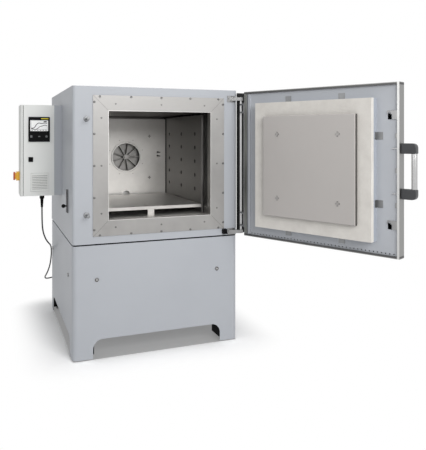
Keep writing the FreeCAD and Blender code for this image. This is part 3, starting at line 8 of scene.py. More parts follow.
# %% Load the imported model
import bmesh
import bpy
import json
import math
import numpy as np
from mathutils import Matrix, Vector


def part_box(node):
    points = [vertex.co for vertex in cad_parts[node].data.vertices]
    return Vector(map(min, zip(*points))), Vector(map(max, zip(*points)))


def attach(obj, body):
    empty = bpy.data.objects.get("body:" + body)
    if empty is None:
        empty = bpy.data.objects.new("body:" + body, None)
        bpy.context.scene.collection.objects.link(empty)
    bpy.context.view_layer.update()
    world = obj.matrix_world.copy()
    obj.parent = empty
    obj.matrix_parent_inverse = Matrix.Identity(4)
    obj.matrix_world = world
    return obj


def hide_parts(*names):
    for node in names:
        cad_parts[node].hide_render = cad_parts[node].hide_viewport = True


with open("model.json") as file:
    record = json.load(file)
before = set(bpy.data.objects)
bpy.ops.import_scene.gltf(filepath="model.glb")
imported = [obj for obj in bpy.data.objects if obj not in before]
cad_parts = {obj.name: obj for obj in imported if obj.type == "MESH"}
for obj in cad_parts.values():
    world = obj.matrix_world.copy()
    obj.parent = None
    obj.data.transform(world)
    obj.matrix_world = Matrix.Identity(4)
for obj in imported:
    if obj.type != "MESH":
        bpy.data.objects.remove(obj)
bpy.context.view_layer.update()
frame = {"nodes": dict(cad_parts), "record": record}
nodes = frame["nodes"]
SLOT_OF = {entry["node"]: entry["material_slot"] for entry in frame["record"]["subparts"]}

# %% [markdown]
# The camera stands where the photographer stood. Its place was worked out from the straight
# edges of the cabinet: it is level, turned a little to the right, and the lens is shifted down
# so that upright edges stay upright. A level camera with a shift is how furniture and machines
# are usually photographed.

# %% Camera
LENS = 44.9
TURN_RIGHT = 0.379
camera_data = bpy.data.cameras.new("photo_camera")
camera_data.lens = LENS
camera_data.sensor_width = 36.0
camera_data.shift_y = -0.1992
camera = bpy.data.objects.new("photo_camera", camera_data)
camera.location = (-0.4633, -3.1246, 1.2218)
camera.rotation_euler = (math.pi / 2, 0.0, -TURN_RIGHT)
bpy.context.collection.objects.link(camera)
bpy.context.scene.camera = camera
bpy.context.scene.view_settings.view_transform = "Standard"
print("camera at", tuple(camera.location))

# %% [markdown]
# The mains cord drops out of the strain relief under the control box, swings back past the
# cabinet's corner and enters the base at the rear. A cord is one smooth line, so it is a single
# NURBS spline; the points below pull the line towards them the way one bends a cord by hand.

# %% Power cord
CORD_RADIUS = 0.0045
CORD_POINTS = [
    (-0.162, 0.490, 0.799), (-0.162, 0.490, 0.680), (-0.151, 0.535, 0.612), (-0.126, 0.620, 0.552),
    (-0.101, 0.715, 0.512), (-0.079, 0.815, 0.480), (-0.064, 0.910, 0.438), (-0.059, 0.970, 0.372),
    (-0.064, 1.010, 0.298), (-0.080, 1.050, 0.236), (-0.095, 1.106, 0.190), (-0.064, 1.150, 0.172),
    (0.010, 1.160, 0.186), (0.072, 1.138, 0.205), (0.100, 1.085, 0.218), (0.100, 1.033, 0.218),
]
curve = bpy.data.curves.new("cord_line", "CURVE")
curve.dimensions = "3D"
curve.bevel_depth = 1.0
curve.bevel_resolution = 6
curve.resolution_u = 10
curve.use_fill_caps = True
spline = curve.splines.new("NURBS")
spline.points.add(len(CORD_POINTS) - 1)
for point, place in zip(spline.points, CORD_POINTS):
    point.co = (*place, 1.0)
    point.radius = CORD_RADIUS
spline.order_u = 3
spline.use_endpoint_u = True
cord = bpy.data.objects.new("power_cord_line", curve)
bpy.context.collection.objects.link(cord)
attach(cord, "cabinet")
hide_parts("power_cord")
print("cord with", len(CORD_POINTS), "points")

# %% [markdown]
# Product pictures of this kind are cut out on white. The world is white to the camera and to
# polished metal, and dimmer for the light it gives. The floor is paper: near the furnace it is
# a real surface that carries the shadow, and further out it fades to the same white, so no
# horizon shows. Under the base it is a painted shadow: a darker grey with a faint glow that
# evens it out. Most light comes from the front right, which leaves the left side in shade.
# Short helpers add a node, fill its inputs and give back what comes out of it.

# %% Nodes of a shader
def fill(tree, node, inputs):
    """Fills a node's inputs by name or number: another node's socket is linked, a value is set."""
    for place, value in inputs.items():
        if isinstance(value, bpy.types.NodeSocket):
            tree.links.new(value, node.inputs[place])
        else:
            node.inputs[place].default_value = value


def add_node(tree, kind, inputs=None):
    node = tree.nodes.new("ShaderNode" + kind)
    fill(tree, node, inputs or {})
    return node


def maths(tree, operation, *values):
    """One maths node on sockets or plain numbers; gives back its result."""
    node = add_node(tree, "Math", dict(enumerate(values)))
    node.operation = operation
    return node.outputs[0]


def vector_maths(tree, operation, *values):
    """One vector maths node on sockets or fixed vectors; gives back its outputs."""
    node = add_node(tree, "VectorMath", dict(enumerate(values)))
    node.operation = operation
    return node.outputs


def object_place(tree):
    return add_node(tree, "TexCoord").outputs["Object"]


def blend(tree, factor, first, second):
    return add_node(tree, "MixShader", {0: factor, 1: first, 2: second}).outputs[0]


def white_rays(tree):
    """One for camera, glossy and transmission rays, and nought for the light between surfaces."""
    path = add_node(tree, "LightPath").outputs
    either = maths(tree, "MAXIMUM", path["Is Camera Ray"], path["Is Glossy Ray"])
    return maths(tree, "MAXIMUM", either, path["Is Transmission Ray"])


# %% World
WHITE = (1.0, 1.0, 1.0, 1.0)
WORLD_LIGHT = 0.29


def make_world():
    world = bpy.data.worlds.new("studio")
    bpy.context.scene.world = world
    world.use_nodes = True
    tree = world.node_tree
    tree.nodes.clear()
    dim = add_node(tree, "Background", {"Color": WHITE, "Strength": WORLD_LIGHT})
    white = add_node(tree, "Background", {"Color": WHITE, "Strength": 1.0})
    mixed = blend(tree, white_rays(tree), dim.outputs[0], white.outputs[0])
    add_node(tree, "OutputWorld", {"Surface": mixed})


make_world()
print("world gives", WORLD_LIGHT, "of the white it shows")

# %% Floor
FLOOR_HALF = 14.0
FLOOR_MARGIN = 0.010
FADE_FROM = 0.03
FADE_TO = 0.30
# The step, the grey and the glow below make a painted shadow under the base.
PAINTED_SHADOW_STEP = 0.012
PAPER_GREY = 0.80
BRIGHT_GREY = 1.30
PAINTED_SHADOW_GREY = 0.28
PAINTED_SHADOW_GLOW = 0.22
base_low, base_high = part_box("base_shell")
BASE_MIDDLE = (base_low + base_high) / 2
BASE_SIZE = (base_high - base_low) / 2


def distance_from_base(tree):
    """Length of max(|p - middle| - half size, 0): how far a floor point lies outside the base."""
    half = (BASE_SIZE.x - FLOOR_MARGIN, BASE_SIZE.y - FLOOR_MARGIN, 0.0)
    middle = (BASE_MIDDLE.x, BASE_MIDDLE.y, 0.0)
    place = vector_maths(tree, "SUBTRACT", object_place(tree), middle)["Vector"]
    place = vector_maths(tree, "ABSOLUTE", place)["Vector"]
    place = vector_maths(tree, "SUBTRACT", place, half)["Vector"]
    place = vector_maths(tree, "MAXIMUM", place, (0.0, 0.0, 0.0))["Vector"]
    return vector_maths(tree, "LENGTH", place)["Value"]


def diffuse(tree, grey):
    return add_node(tree, "BsdfDiffuse", {"Color": (grey, grey, grey, 1.0)}).outputs[0]


def paper_material():
    """Pale paper that fades into plain white away from the base; under the base it is a painted shadow."""
    material = bpy.data.materials.new("studio_floor")
    material.use_nodes = True
    tree = material.node_tree
    tree.nodes.clear()
    away = distance_from_base(tree)
    # Painted shadow under the base: a dark grey diffuse with a faint glow, of even tone.
    shadow_glow = add_node(tree, "Emission", {"Strength": PAINTED_SHADOW_GLOW})
    under = add_node(tree, "AddShader", {0: diffuse(tree, PAINTED_SHADOW_GREY), 1: shadow_glow.outputs[0]})
    step = add_node(tree, "MapRange", {"Value": away, "From Max": PAINTED_SHADOW_STEP})
    near = blend(tree, step.outputs[0], under.outputs[0], diffuse(tree, BRIGHT_GREY))
    far = add_node(tree, "MapRange", {"Value": away, "From Min": FADE_FROM, "From Max": FADE_TO})
    far.interpolation_type = "SMOOTHSTEP"
    glow = add_node(tree, "Emission", {"Strength": 1.0})
    seen = blend(tree, far.outputs[0], near, glow.outputs[0])
    surface = blend(tree, white_rays(tree), diffuse(tree, PAPER_GREY), seen)
    add_node(tree, "OutputMaterial", {"Surface": surface})
    return material


def make_floor():
    mesh = bpy.data.meshes.new("floor")
    corners = [(-FLOOR_HALF, -FLOOR_HALF, 0.0), (FLOOR_HALF, -FLOOR_HALF, 0.0),
               (FLOOR_HALF, FLOOR_HALF, 0.0), (-FLOOR_HALF, FLOOR_HALF, 0.0)]
    mesh.from_pydata(corners, [], [(0, 1, 2, 3)])
    mesh.materials.append(paper_material())
    floor = bpy.data.objects.new("floor", mesh)
    bpy.context.collection.objects.link(floor)


make_floor()
print("floor fades from", FADE_FROM, "to", FADE_TO, "m outside the base")

# %% Lamps
def make_lamp(name, place, target, size, watts):
    data = bpy.data.lights.new(name, "AREA")
    data.shape = "RECTANGLE"
    data.size = size[0]
    data.size_y = size[1]
    data.energy = watts
    lamp = bpy.data.objects.new(name, data)
    lamp.location = place
    aim = Vector(target) - Vector(place)
    lamp.rotation_euler = aim.to_track_quat("-Z", "Y").to_euler()
    bpy.context.collection.objects.link(lamp)


make_lamp("key", (0.9, -4.8, 2.9), (0.45, 0.2, 0.9), (3.0, 2.2), 160)
make_lamp("side_fill", (-4.2, -1.0, 2.4), (0.2, 0.5, 0.9), (2.2, 2.2), 22)
make_lamp("top", (0.6, 0.2, 4.4), (0.6, 0.2, 0.0), (3.0, 3.0), 38)
print("three soft lamps")

# %% [markdown]
# The small pieces that catch the eye are computed surfaces. Each is a grid of points, a function
# of two parameters, worked out as one numpy array: a profile turned round an axis, an outline
# carried through a thickness with rounded rims, or a line given a width. Neighbouring points
# make the faces, and points that fall together are merged, which closes seams and poles.

# %% Grids of points
def soften(corners, radius, steps=5, closed=False):
    """Rounds a line of corners: each becomes a parabola that starts and ends a radius away.

    The point at t is (1-t)^2 start + 2t(1-t) corner + t^2 end. The reach is kept under half
    of the shorter neighbouring run."""
    corners = np.asarray(corners, float)
    before = np.roll(corners, 1, axis=0)
    after = np.roll(corners, -1, axis=0)
    back = before - corners
    ahead = after - corners
    back_length = np.linalg.norm(back, axis=1)
    ahead_length = np.linalg.norm(ahead, axis=1)
    reach = np.minimum(radius, 0.48 * np.minimum(back_length, ahead_length))
    start = corners + back * (reach / back_length)[:, None]
    end = corners + ahead * (reach / ahead_length)[:, None]
    t = np.linspace(0.0, 1.0, steps)[None, :, None]
    bends = (1 - t) ** 2 * start[:, None] + 2 * t * (1 - t) * corners[:, None] + t ** 2 * end[:, None]
    if closed:
        return bends.reshape(-1, 2)
    return np.vstack([corners[:1], bends[1:-1].reshape(-1, 2), corners[-1:]])


def turned(profile, steps=40):
    """A profile of (radius, height) turned round the third axis: x is radius times cosine, y sine."""
    profile = np.asarray(profile, float)
    angle = np.linspace(0.0, 2 * np.pi, steps + 1)
    radius = profile[:, :1]
    height = np.broadcast_to(profile[:, 1:], (len(profile), steps + 1))
    return np.stack([radius * np.cos(angle), radius * np.sin(angle), height], axis=-1)


FLAT_RING = 0.4


def slab(outline, low, high, edge, steps=4):
    """A closed outline carried from low to high, its rims rounded by a quarter circle.

    At an angle a from the face, the outline shrinks along its inward normals by edge (1 - sin a)
    and stands edge (1 - cos a) behind the face. One more ring just inside keeps the face's
    shading flat, and a middle point closes it."""
    outline = np.asarray(outline, float)
    along = np.roll(outline, -1, axis=0) - np.roll(outline, 1, axis=0)
    inward = np.stack([-along[:, 1], along[:, 0]], axis=1)
    inward /= np.linalg.norm(inward, axis=1, keepdims=True) + 1e-12
    angle = np.linspace(0.0, np.pi / 2, steps + 1)
    shrink = edge * (1 - np.sin(angle))
    behind = edge * (1 - np.cos(angle))
    inner = [edge + FLAT_RING]
    shrinks = np.concatenate([inner, shrink, shrink[::-1], inner])
    depths = np.concatenate([[low], low + behind, high - behind[::-1], [high]])
    rings = outline[None] + inward[None] * shrinks[:, None, None]
    middle = np.broadcast_to(outline.mean(axis=0), (1, len(outline), 2))
    flat = np.concatenate([middle, rings, middle])
    depths = np.concatenate([[low], depths, [high]])
    depth = np.broadcast_to(depths[:, None, None], (*flat.shape[:2], 1))
    grid = np.concatenate([flat, depth], axis=-1)
    return np.concatenate([grid, grid[:, :1]], axis=1)


def ribbon(line, width, low, high):
    """A line in the plane given a width and a thickness, pinched shut at both ends."""
    line = np.asarray(line, float)
    along = np.gradient(line, axis=0)
    across = np.stack([-along[:, 1], along[:, 0]], axis=1)
    across /= np.linalg.norm(across, axis=1, keepdims=True) + 1e-12
    side = np.array([1.0, 1.0, -1.0, -1.0, 1.0]) * width / 2
    depth = np.array([low, high, high, low, low])
    flat = line[:, None] + across[:, None] * side[None, :, None]
    body = np.concatenate([flat, np.broadcast_to(depth[None, :, None], (len(line), 5, 1))], axis=-1)
    return np.concatenate([body[:1].mean(axis=1, keepdims=True).repeat(5, axis=1), body,
                           body[-1:].mean(axis=1, keepdims=True).repeat(5, axis=1)])


def straight(x1, y1, x2, y2):
    return np.linspace((x1, y1), (x2, y2), 4)


print("a rounded square has", len(soften([(0, 0), (1, 0), (1, 1), (0, 1)], 0.2, closed=True)), "points")

# %% Placing grids and making the piece
MM = 0.001
X = (1.0, 0.0, 0.0)
Y = (0.0, 1.0, 0.0)
Z = (0.0, 0.0, 1.0)
LEFT = (-1.0, 0.0, 0.0)
FRONT = (0.0, -1.0, 0.0)
DOWN = (0.0, 0.0, -1.0)
PIVOT = np.array([0.932, -0.130, 0.0])
DOOR_ANGLE = math.radians(115.3)
DOOR_ALONG = np.array([math.cos(DOOR_ANGLE), math.sin(DOOR_ANGLE), 0.0])
DOOR_OUT = np.array([-math.sin(DOOR_ANGLE), math.cos(DOOR_ANGLE), 0.0])


def stand(grid, origin, first, second, third):
    """Places a grid: its three coordinates, in millimetres, run along the three directions."""
    axes = np.array([first, second, third], float)
    return np.asarray(origin, float) + grid * MM @ axes


def hang(grid):
    """Door pieces are drawn as on the closed door, from the pivot, then swung to where it rests."""
    return PIVOT + grid * MM @ np.array([DOOR_ALONG, DOOR_OUT, Z])


def side_on(grid):
    """A flat shape drawn by its place and height, turned to stand in the door's plane."""
    return hang(grid[..., [0, 2, 1]])


def make_piece(name, grids, body, stands_for=()):
    """One mesh from several grids. Faces join neighbouring points; doubles are merged."""
    points = []
    faces = []
    count = 0
    for grid in grids:
        rows, columns = grid.shape[:2]
        index = np.arange(rows * columns).reshape(rows, columns) + count
        quads = np.stack([index[:-1, :-1], index[:-1, 1:], index[1:, 1:], index[1:, :-1]], axis=-1)
        points.append(grid.reshape(-1, 3))
        faces.append(quads.reshape(-1, 4))
        count += rows * columns
    mesh = bpy.data.meshes.new(name)
    mesh.from_pydata(np.concatenate(points).tolist(), [], np.concatenate(faces).tolist())
    shape = bmesh.new()
    shape.from_mesh(mesh)
    bmesh.ops.remove_doubles(shape, verts=shape.verts, dist=1e-6)
    bmesh.ops.recalc_face_normals(shape, faces=shape.faces)
    shape.to_mesh(mesh)
    shape.free()
    mesh.shade_smooth()
    mesh.set_sharp_from_angle(angle=math.radians(38))
    piece = bpy.data.objects.new(name, mesh)
    bpy.context.collection.objects.link(piece)
    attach(piece, body)
    if stands_for:
        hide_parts(*stands_for)
    print(name, "has", len(mesh.polygons), "faces")
    return piece


print("the door rests", round(math.degrees(DOOR_ANGLE), 1), "degrees open")

# %% [markdown]
# The collar is held by socket screws. A screw head is the simplest thing to turn: a domed
# profile with a socket sunk in its middle. The spots follow the collar, so they are worked out
# from its box: an outer ring close to the edge and an inner ring of small flush heads.

# %% Collar screws
collar_low, collar_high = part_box("collar_frame")
COLLAR_MIDDLE = (collar_low + collar_high) / 2
COLLAR_HALF = (collar_high.x - collar_low.x) / 2 / MM


def ring_spots(inset, steps):
    """Places on the four sides of a square, at the given shares of its half width."""
    half = COLLAR_HALF - inset
    steps = np.asarray(steps, float) * half
    edge = np.full_like(steps, half)
    return np.concatenate([
        np.stack([steps, edge], axis=1), np.stack([steps, -edge], axis=1),
        np.stack([edge, steps], axis=1), np.stack([-edge, steps], axis=1),
    ])


def screw_head(radius, proud):
    """Dome with a round socket: up the flank, over the dome and down into the socket."""
    outer = soften([(radius, 0.0), (radius, proud * 0.7), (radius * 0.55, proud)], 0.6)
    socket = np.array([(radius * 0.5, proud), (radius * 0.5, proud * 0.25), (0.0, proud * 0.2)])
    return turned(np.vstack([outer, socket]), 20)


def face_point(spot):
    return (COLLAR_MIDDLE.x + spot[0] * MM, collar_low.y, COLLAR_MIDDLE.z + spot[1] * MM)


outer_spots = ring_spots(7.0, (-0.92, -0.46, 0.0, 0.46, 0.92))
inner_spots = ring_spots(46.0, (-0.77, 0.0, 0.77))
screw_grids = [stand(screw_head(6.5, 3.0), face_point(spot), X, Z, FRONT) for spot in outer_spots]
screw_grids += [stand(screw_head(5.2, 0.9), face_point(spot), X, Z, FRONT) for spot in inner_spots]
collar_screws = make_piece("collar_screw_heads", screw_grids, "cabinet", ["collar_screws"])

# %% [markdown]
# The two strikers stand out of the front panel: a base, a thin neck that the latch's notch
# fits, and a chamfered head. The slider's knob is a turned ball on a stem, and so are the
# strain relief under the control box and the cord's entry at the back of the base.

# %% Strikers
striker_low, striker_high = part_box("strikers")
striker_x = (striker_low.x + striker_high.x) / 2
base_radius = (striker_high.x - striker_low.x) / 2 / MM
striker_reach = (striker_high.y - striker_low.y) / MM
head = striker_reach - 7
striker_profile = soften([
    (base_radius, 0), (base_radius, 3), (5, 3.5), (5, head), (8.5, head), (8.5, striker_reach),
    (0, striker_reach),
], 1.2)
striker_heights = (striker_low.z + base_radius * MM, striker_high.z - base_radius * MM)
striker_grids = [
    stand(turned(striker_profile, 32), (striker_x, striker_high.y, z), X, Z, FRONT) for z in striker_heights
]
strikers = make_piece("striker_pins", striker_grids, "cabinet", ["strikers"])

# %% Slider knob
knob_low, knob_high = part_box("slider_knob")
knob_place = (knob_high.x, (knob_low.y + knob_high.y) / 2, (knob_low.z + knob_high.z) / 2)
knob_length = (knob_high.x - knob_low.x) / MM
BALL_RADIUS = 11
STEM_RADIUS = 4.0
ball_angle = np.linspace(-1.19, np.pi / 2, 14)
ball_height = knob_length - BALL_RADIUS + BALL_RADIUS * np.sin(ball_angle)
ball = np.stack([BALL_RADIUS * np.cos(ball_angle), ball_height], axis=1)
knob_profile = np.vstack([[(0, 0), (STEM_RADIUS, 0)], ball])
knob = make_piece("ball_knob", [
    stand(turned(knob_profile, 32), knob_place, Y, Z, LEFT),
], "air_slider", ["slider_knob"])

# %% Strain relief and cord entry
gland_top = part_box("control_housing")[0].z
gland_place = (-0.162, 0.490, gland_top)
NUT_DEEP = 26.0
SLEEVE_DEEP = 76.0
RIB_PITCH = 5.5


def relief_profile():
    """From the nut down: hexagon-sized collar, then a tapering sleeve with nine bending ribs."""
    height = np.linspace(NUT_DEEP, SLEEVE_DEEP, 91)
    taper = np.interp(height, [NUT_DEEP, SLEEVE_DEEP], [10.2, 7.2])
    ribs = 0.9 * (np.sin((height - NUT_DEEP) * 2 * np.pi / RIB_PITCH) > 0)
    sleeve = np.stack([taper - ribs, height], axis=1)
    nut = soften([(0, 0), (16, 0), (16, 8), (14, 9), (14, 23), (10.5, NUT_DEEP)], 0.8)
    tip = np.array([(6.6, 78.0), (4.8, 78.0), (4.8, 60.0)])
    return np.vstack([nut, sleeve, tip])


entry_low, entry_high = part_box("cord_glands")
entry_place = (0.100, 1.025, 0.218)
entry_length = (entry_high.y - entry_place[1]) / MM
entry_profile = soften([
    (0, 0), (16, 0), (16, 6), (12, 7), (12, entry_length - 4), (9, entry_length), (4.8, entry_length),
    (4.8, entry_length - 12),
], 1.0)
glands = make_piece("ribbed_glands", [
    stand(turned(relief_profile(), 32), gland_place, X, Y, DOWN),
    stand(turned(entry_profile, 32), entry_place, X, Z, Y),
], "cabinet", ["cord_glands"])

# %% [markdown]
# The pull handle has two moulded brackets and a bright tube. A bracket is an outline with one
# large round corner, carried through its width with soft rims. The hinge's rods are plain
# turned bars with domed ends.

# %% Door handle
DOOR_EDGE = -960.0
HANDLE_Z = 1053.0
HANDLE_SPACING = 214.0
HANDLE_REACH = 74.0
HANDLE_BLOCK = 49.0
HANDLE_MIDDLE = 1.0
HANDLE_HALF = 15.0
HANDLE_RIM = 4.0
CORNER_RADII = (6.0, 5.0, 6.0, 26.0)
GRIP_RADIUS = 13.5
GRIP_HALF = 83.0


def bracket_grid(up):
    """Outline in the door's plane, counter-clockwise, its outer corner rounded by 26 mm."""
    z = HANDLE_Z + up * HANDLE_SPACING / 2
    half = HANDLE_BLOCK / 2
    end = DOOR_EDGE - HANDLE_REACH
    corners = np.array([(end, z - up * half), (DOOR_EDGE, z - up * half), (DOOR_EDGE, z + up * half),
                        (end, z + up * half)])
    radii = np.array(CORNER_RADII)
    if up < 0:
        corners = corners[::-1]
        radii = radii[::-1]
    outline = soften(corners, radii, 7, closed=True)
    return side_on(slab(outline, HANDLE_MIDDLE - HANDLE_HALF, HANDLE_MIDDLE + HANDLE_HALF, HANDLE_RIM))


def rod_profile(radius, low, high, rim):
    return soften([(0, low), (radius, low), (radius, high), (0, high)], rim)


handle_brackets = make_piece(
    "handle_mouldings", [bracket_grid(1), bracket_grid(-1)], "door",
    ["handle_brackets"])
grip_place = np.array([DOOR_EDGE - HANDLE_REACH + GRIP_RADIUS, HANDLE_MIDDLE, HANDLE_Z])
grip_grid = turned(rod_profile(GRIP_RADIUS, -GRIP_HALF, GRIP_HALF, 0.6), 40) + grip_place
handle_grip = make_piece("handle_tube", [hang(grip_grid)], "door", ["handle_grip"])

# %% Hinge rods
ROD_RIM = 2.5
rod_low, rod_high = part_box("hinge_rods")
outer_rod = rod_profile(8.0, 682, 1413, ROD_RIM)
inner_rod = rod_profile(6.5, rod_low.z / MM, rod_high.z / MM, ROD_RIM)
rods = make_piece("turned_rods", [
    stand(turned(outer_rod, 32), (0.932, -0.130, 0.0), X, Y, Z),
    stand(turned(inner_rod, 32), (0.930, -0.074, 0.0), X, Y, Z),
], "cabinet", ["hinge_rods"])

# %% [markdown]
# The base is closed by quarter-turn locks. Each is a raised ring with a slotted head inside;
# the slot stands diagonally and is a short dark ribbon that lies just proud of the head.

# %% Quarter-turn locks
LOCK_HEIGHT = 435.0
LOCK_RADIUS = 11.0
LOCK_PROUD = 4.0
LOCK_INNER = LOCK_RADIUS - 4.0
LOCK_HEAD = LOCK_RADIUS - 5.0
SLOT_HALF = LOCK_RADIUS * 0.35
SLOT_WIDE = 1.8
LOCK_FRONT_X = (80.0, 785.0)
LOCK_SIDE_Y = (122.0, 943.0)


def lock_places():
    """Middle and three directions of each lock: two at the front and two on either side."""
    z = LOCK_HEIGHT * MM
    front = [((x * MM, base_low.y, z), X, Z, FRONT) for x in LOCK_FRONT_X]
    left = [((base_low.x, y * MM, z), Y, Z, LEFT) for y in LOCK_SIDE_Y]
    right = [((base_high.x, y * MM, z), Y, Z, X) for y in LOCK_SIDE_Y]
    return front + left + right


ring_profile = soften([(LOCK_RADIUS, 0), (LOCK_RADIUS, LOCK_PROUD), (LOCK_INNER, LOCK_PROUD),
                       (LOCK_INNER, 0.2), (0, 0.2)], 0.5)
head_profile = soften([(LOCK_HEAD, 0.0), (LOCK_HEAD, LOCK_PROUD), (0, LOCK_PROUD)], 0.7)
slot_line = straight(-SLOT_HALF, -SLOT_HALF, SLOT_HALF, SLOT_HALF)
lock_rings = make_piece("lock_rings", [
    stand(shape, *place) for place in lock_places()
    for shape in (turned(ring_profile, 32), ribbon(slot_line, SLOT_WIDE, LOCK_PROUD - 0.3, LOCK_PROUD + 0.1))
], "cabinet", ["panel_locks"])
lock_heads = make_piece("lock_heads", [stand(turned(head_profile, 28), *place) for place in lock_places()],
                        "cabinet")

# %% [markdown]
# Four outlined crosses mark the plug's face. Each of their edges is a ribbon of its own,
# because one ribbon carried round sharp corners would come out uneven.

# %% Marks on the plug's face
PLUG_FACE = 97.0
MARK_X = 184.0
MARK_Z = 172.0
MARK_ARM = 12.0
MARK_HALF = 3.4
MARK_LINE = 1.3
plug_low, plug_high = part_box("door_plug")
plug_place = np.array((plug_low + plug_high) / 2) - PIVOT
PLUG_X = float(plug_place @ DOOR_ALONG) / MM
PLUG_Z = float(plug_place[2]) / MM


def cross_edges(x, z):
    """The twelve edges of a plus sign, each a short straight line with its ends run out a little."""
    quarter = np.array([(MARK_ARM, -MARK_HALF), (MARK_ARM, MARK_HALF), (MARK_HALF, MARK_HALF)])
    corners = [quarter @ np.array([[math.cos(a), math.sin(a)], [-math.sin(a), math.cos(a)]])
               for a in np.arange(4) * np.pi / 2]
    outline = np.concatenate(corners) + np.array([x, z])
    edges = []
    for start, end in zip(outline, np.roll(outline, -1, axis=0)):
        run_out = (end - start) / np.linalg.norm(end - start) * MARK_LINE / 2
        edges.append(straight(*(start - run_out), *(end + run_out)))
    return edges


cross_lines = make_piece("plug_crosses", [
    side_on(ribbon(edge, MARK_LINE, PLUG_FACE - 0.2, PLUG_FACE + 0.5))
    for side in (-1, 1) for up in (-1, 1)
    for edge in cross_edges(PLUG_X + side * MARK_X, PLUG_Z + up * MARK_Z)
], "door")

# %% [markdown]
# Two thin bolts hold the handle from inside the door's free edge, and two narrow strips run
# up its hinge side. They are drawn on the closed door and hung where it rests.

# %% Handle bolts inside the free edge
BOLT_REACH = 34.0
BOLT_AHEAD = 24.8
BOLT_INSET = 3
bolt_profile = soften([(0, 0), (4, 0), (4, 4), (2.3, 4), (2.3, BOLT_REACH), (0, BOLT_REACH)], 0.5)
bolt_grid = turned(bolt_profile, 24)
bolts = make_piece("handle_bolts", [
    hang(bolt_grid[..., [2, 0, 1]] + np.array([DOOR_EDGE + BOLT_INSET, BOLT_AHEAD, z]))
    for z in (HANDLE_Z - HANDLE_SPACING / 2, HANDLE_Z + HANDLE_SPACING / 2)
], "door")

# %% Strips along the door's hinge side
door_low, door_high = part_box("door_shell")
DOOR_BOTTOM = door_low.z / MM
DOOR_TOP = door_high.z / MM
LIP_AHEAD = 28.0
PANEL_AHEAD = 20.0
STRIP_INSET = 14


def upright_strip(near_x, far_x, low, high):
    """A flat bar along the door's height, its rims rounded, drawn on the closed door."""
    bottom = DOOR_BOTTOM + STRIP_INSET
    top = DOOR_TOP - STRIP_INSET
    corners = [(near_x, top), (far_x, top), (far_x, bottom), (near_x, bottom)]
    return side_on(slab(soften(corners, 1.0, 4, closed=True), low, high, 0.6))


cover_strip = make_piece("hinge_side_cover", [upright_strip(-17.5, -38, LIP_AHEAD + 0.1, LIP_AHEAD + 1.6)],
                         "door")
edge_strip = make_piece("hinge_side_bar", [upright_strip(-42, -60, PANEL_AHEAD - 0.5, PANEL_AHEAD + 5)],
                        "door")

# %% [markdown]
# Behind the hinge rods the photograph has a dark upright band as tall as the door. It is taken
# for a cover strip that the hinge arms carry, and it stays on the cabinet when the door turns.
# Its near-black colour is painted shade, the dark of the band.

# %% Cover strip behind the hinge rods
COVER_LEFT = 908.0
COVER_RIGHT = 979.0
COVER_BACK = -59.5
COVER_SHEET = 6.0
cover_outline = soften([(COVER_LEFT, DOOR_BOTTOM), (COVER_RIGHT, DOOR_BOTTOM), (COVER_RIGHT, DOOR_TOP),
                        (COVER_LEFT, DOOR_TOP)], 4.0, 4, closed=True)
hinge_cover = make_piece("hinge_cover", [
    stand(slab(cover_outline, 0.0, COVER_SHEET, 1.5), (0.0, COVER_BACK * MM, 0.0), X, Z, FRONT),
], "cabinet")

# %% [markdown]
# The controller shows a plain chart: two generic curves over a few axis ticks, thin ribbons
# that lie on the screen. Curves drawn as geometry stay crisp from any side and need no image.

# %% Controller picture
screen_low, screen_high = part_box("display_screen")
SCREEN_CORNER = tuple(screen_low)
SCREEN_WIDTH = (screen_high.x - screen_low.x) / MM
SCREEN_HEIGHT = (screen_high.z - screen_low.z) / MM


def chart_curve(start, rise, level, wave):
    """Level reached along an S curve, level / (1 + exp(-(x - rise))), with a slow ripple on top."""
    x = np.linspace(6.0, SCREEN_WIDTH - 6.0, 80)
    y = start + level / (1 + np.exp(-(x - rise) / 5.0)) + wave * np.sin(x / 6.0)
    return np.stack([x, y], axis=1)


chart_lines = [
    (chart_curve(16.0, 30.0, 32.0, 1.2), 3.6), (chart_curve(12.0, 52.0, 22.0, 2.2), 3.0),
    (straight(5, 10, SCREEN_WIDTH - 5, 10), 0.9), (straight(5, 10, 5, SCREEN_HEIGHT - 5), 0.9),
]
chart_lines += [(straight(x, 4.5, x + 6, 4.5), 2.6) for x in (8, 24, 40, 56, 72, 88)]
caption_height = SCREEN_HEIGHT - 8
chart_lines.append((straight(SCREEN_WIDTH - 26, caption_height, SCREEN_WIDTH - 8, caption_height), 6.0))
chart = make_piece(
    "chart_lines",
    [stand(ribbon(line, width, -0.05, 0.35), SCREEN_CORNER, X, Z, FRONT) for line, width in chart_lines],
    "cabinet")

# %% Controller keys and bar
bezel_low, bezel_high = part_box("display_bezel")
BEZEL_CORNER = tuple(bezel_low)
BEZEL_WIDTH = (bezel_high.x - bezel_low.x) / MM
BEZEL_HEIGHT = (bezel_high.z - bezel_low.z) / MM
KEY_HEIGHT = 32


def block(x1, z1, x2, z2, radius):
    return soften([(x1, z1), (x2, z1), (x2, z2), (x1, z2)], radius, 4, closed=True)


bar_outline = block(BEZEL_WIDTH * 0.58, BEZEL_HEIGHT - 13, BEZEL_WIDTH * 0.93, BEZEL_HEIGHT - 8, 1.2)
bar = slab(bar_outline, -0.2, 0.8, 0.4)
top_bar = make_piece("bezel_bar", [stand(bar, BEZEL_CORNER, X, Z, FRONT)], "cabinet")
keys = [
    slab(block(x - 6, KEY_HEIGHT - height, x + 6, KEY_HEIGHT + height, 2.0), -0.2, 1.0, 0.5)
    for x, height in ((16, 7), (BEZEL_WIDTH - 20, 6), (BEZEL_WIDTH * 0.5, 3))
]
bezel_keys = make_piece("bezel_keys", [
    stand(key, BEZEL_CORNER, X, Z, FRONT) for key in keys
], "cabinet")

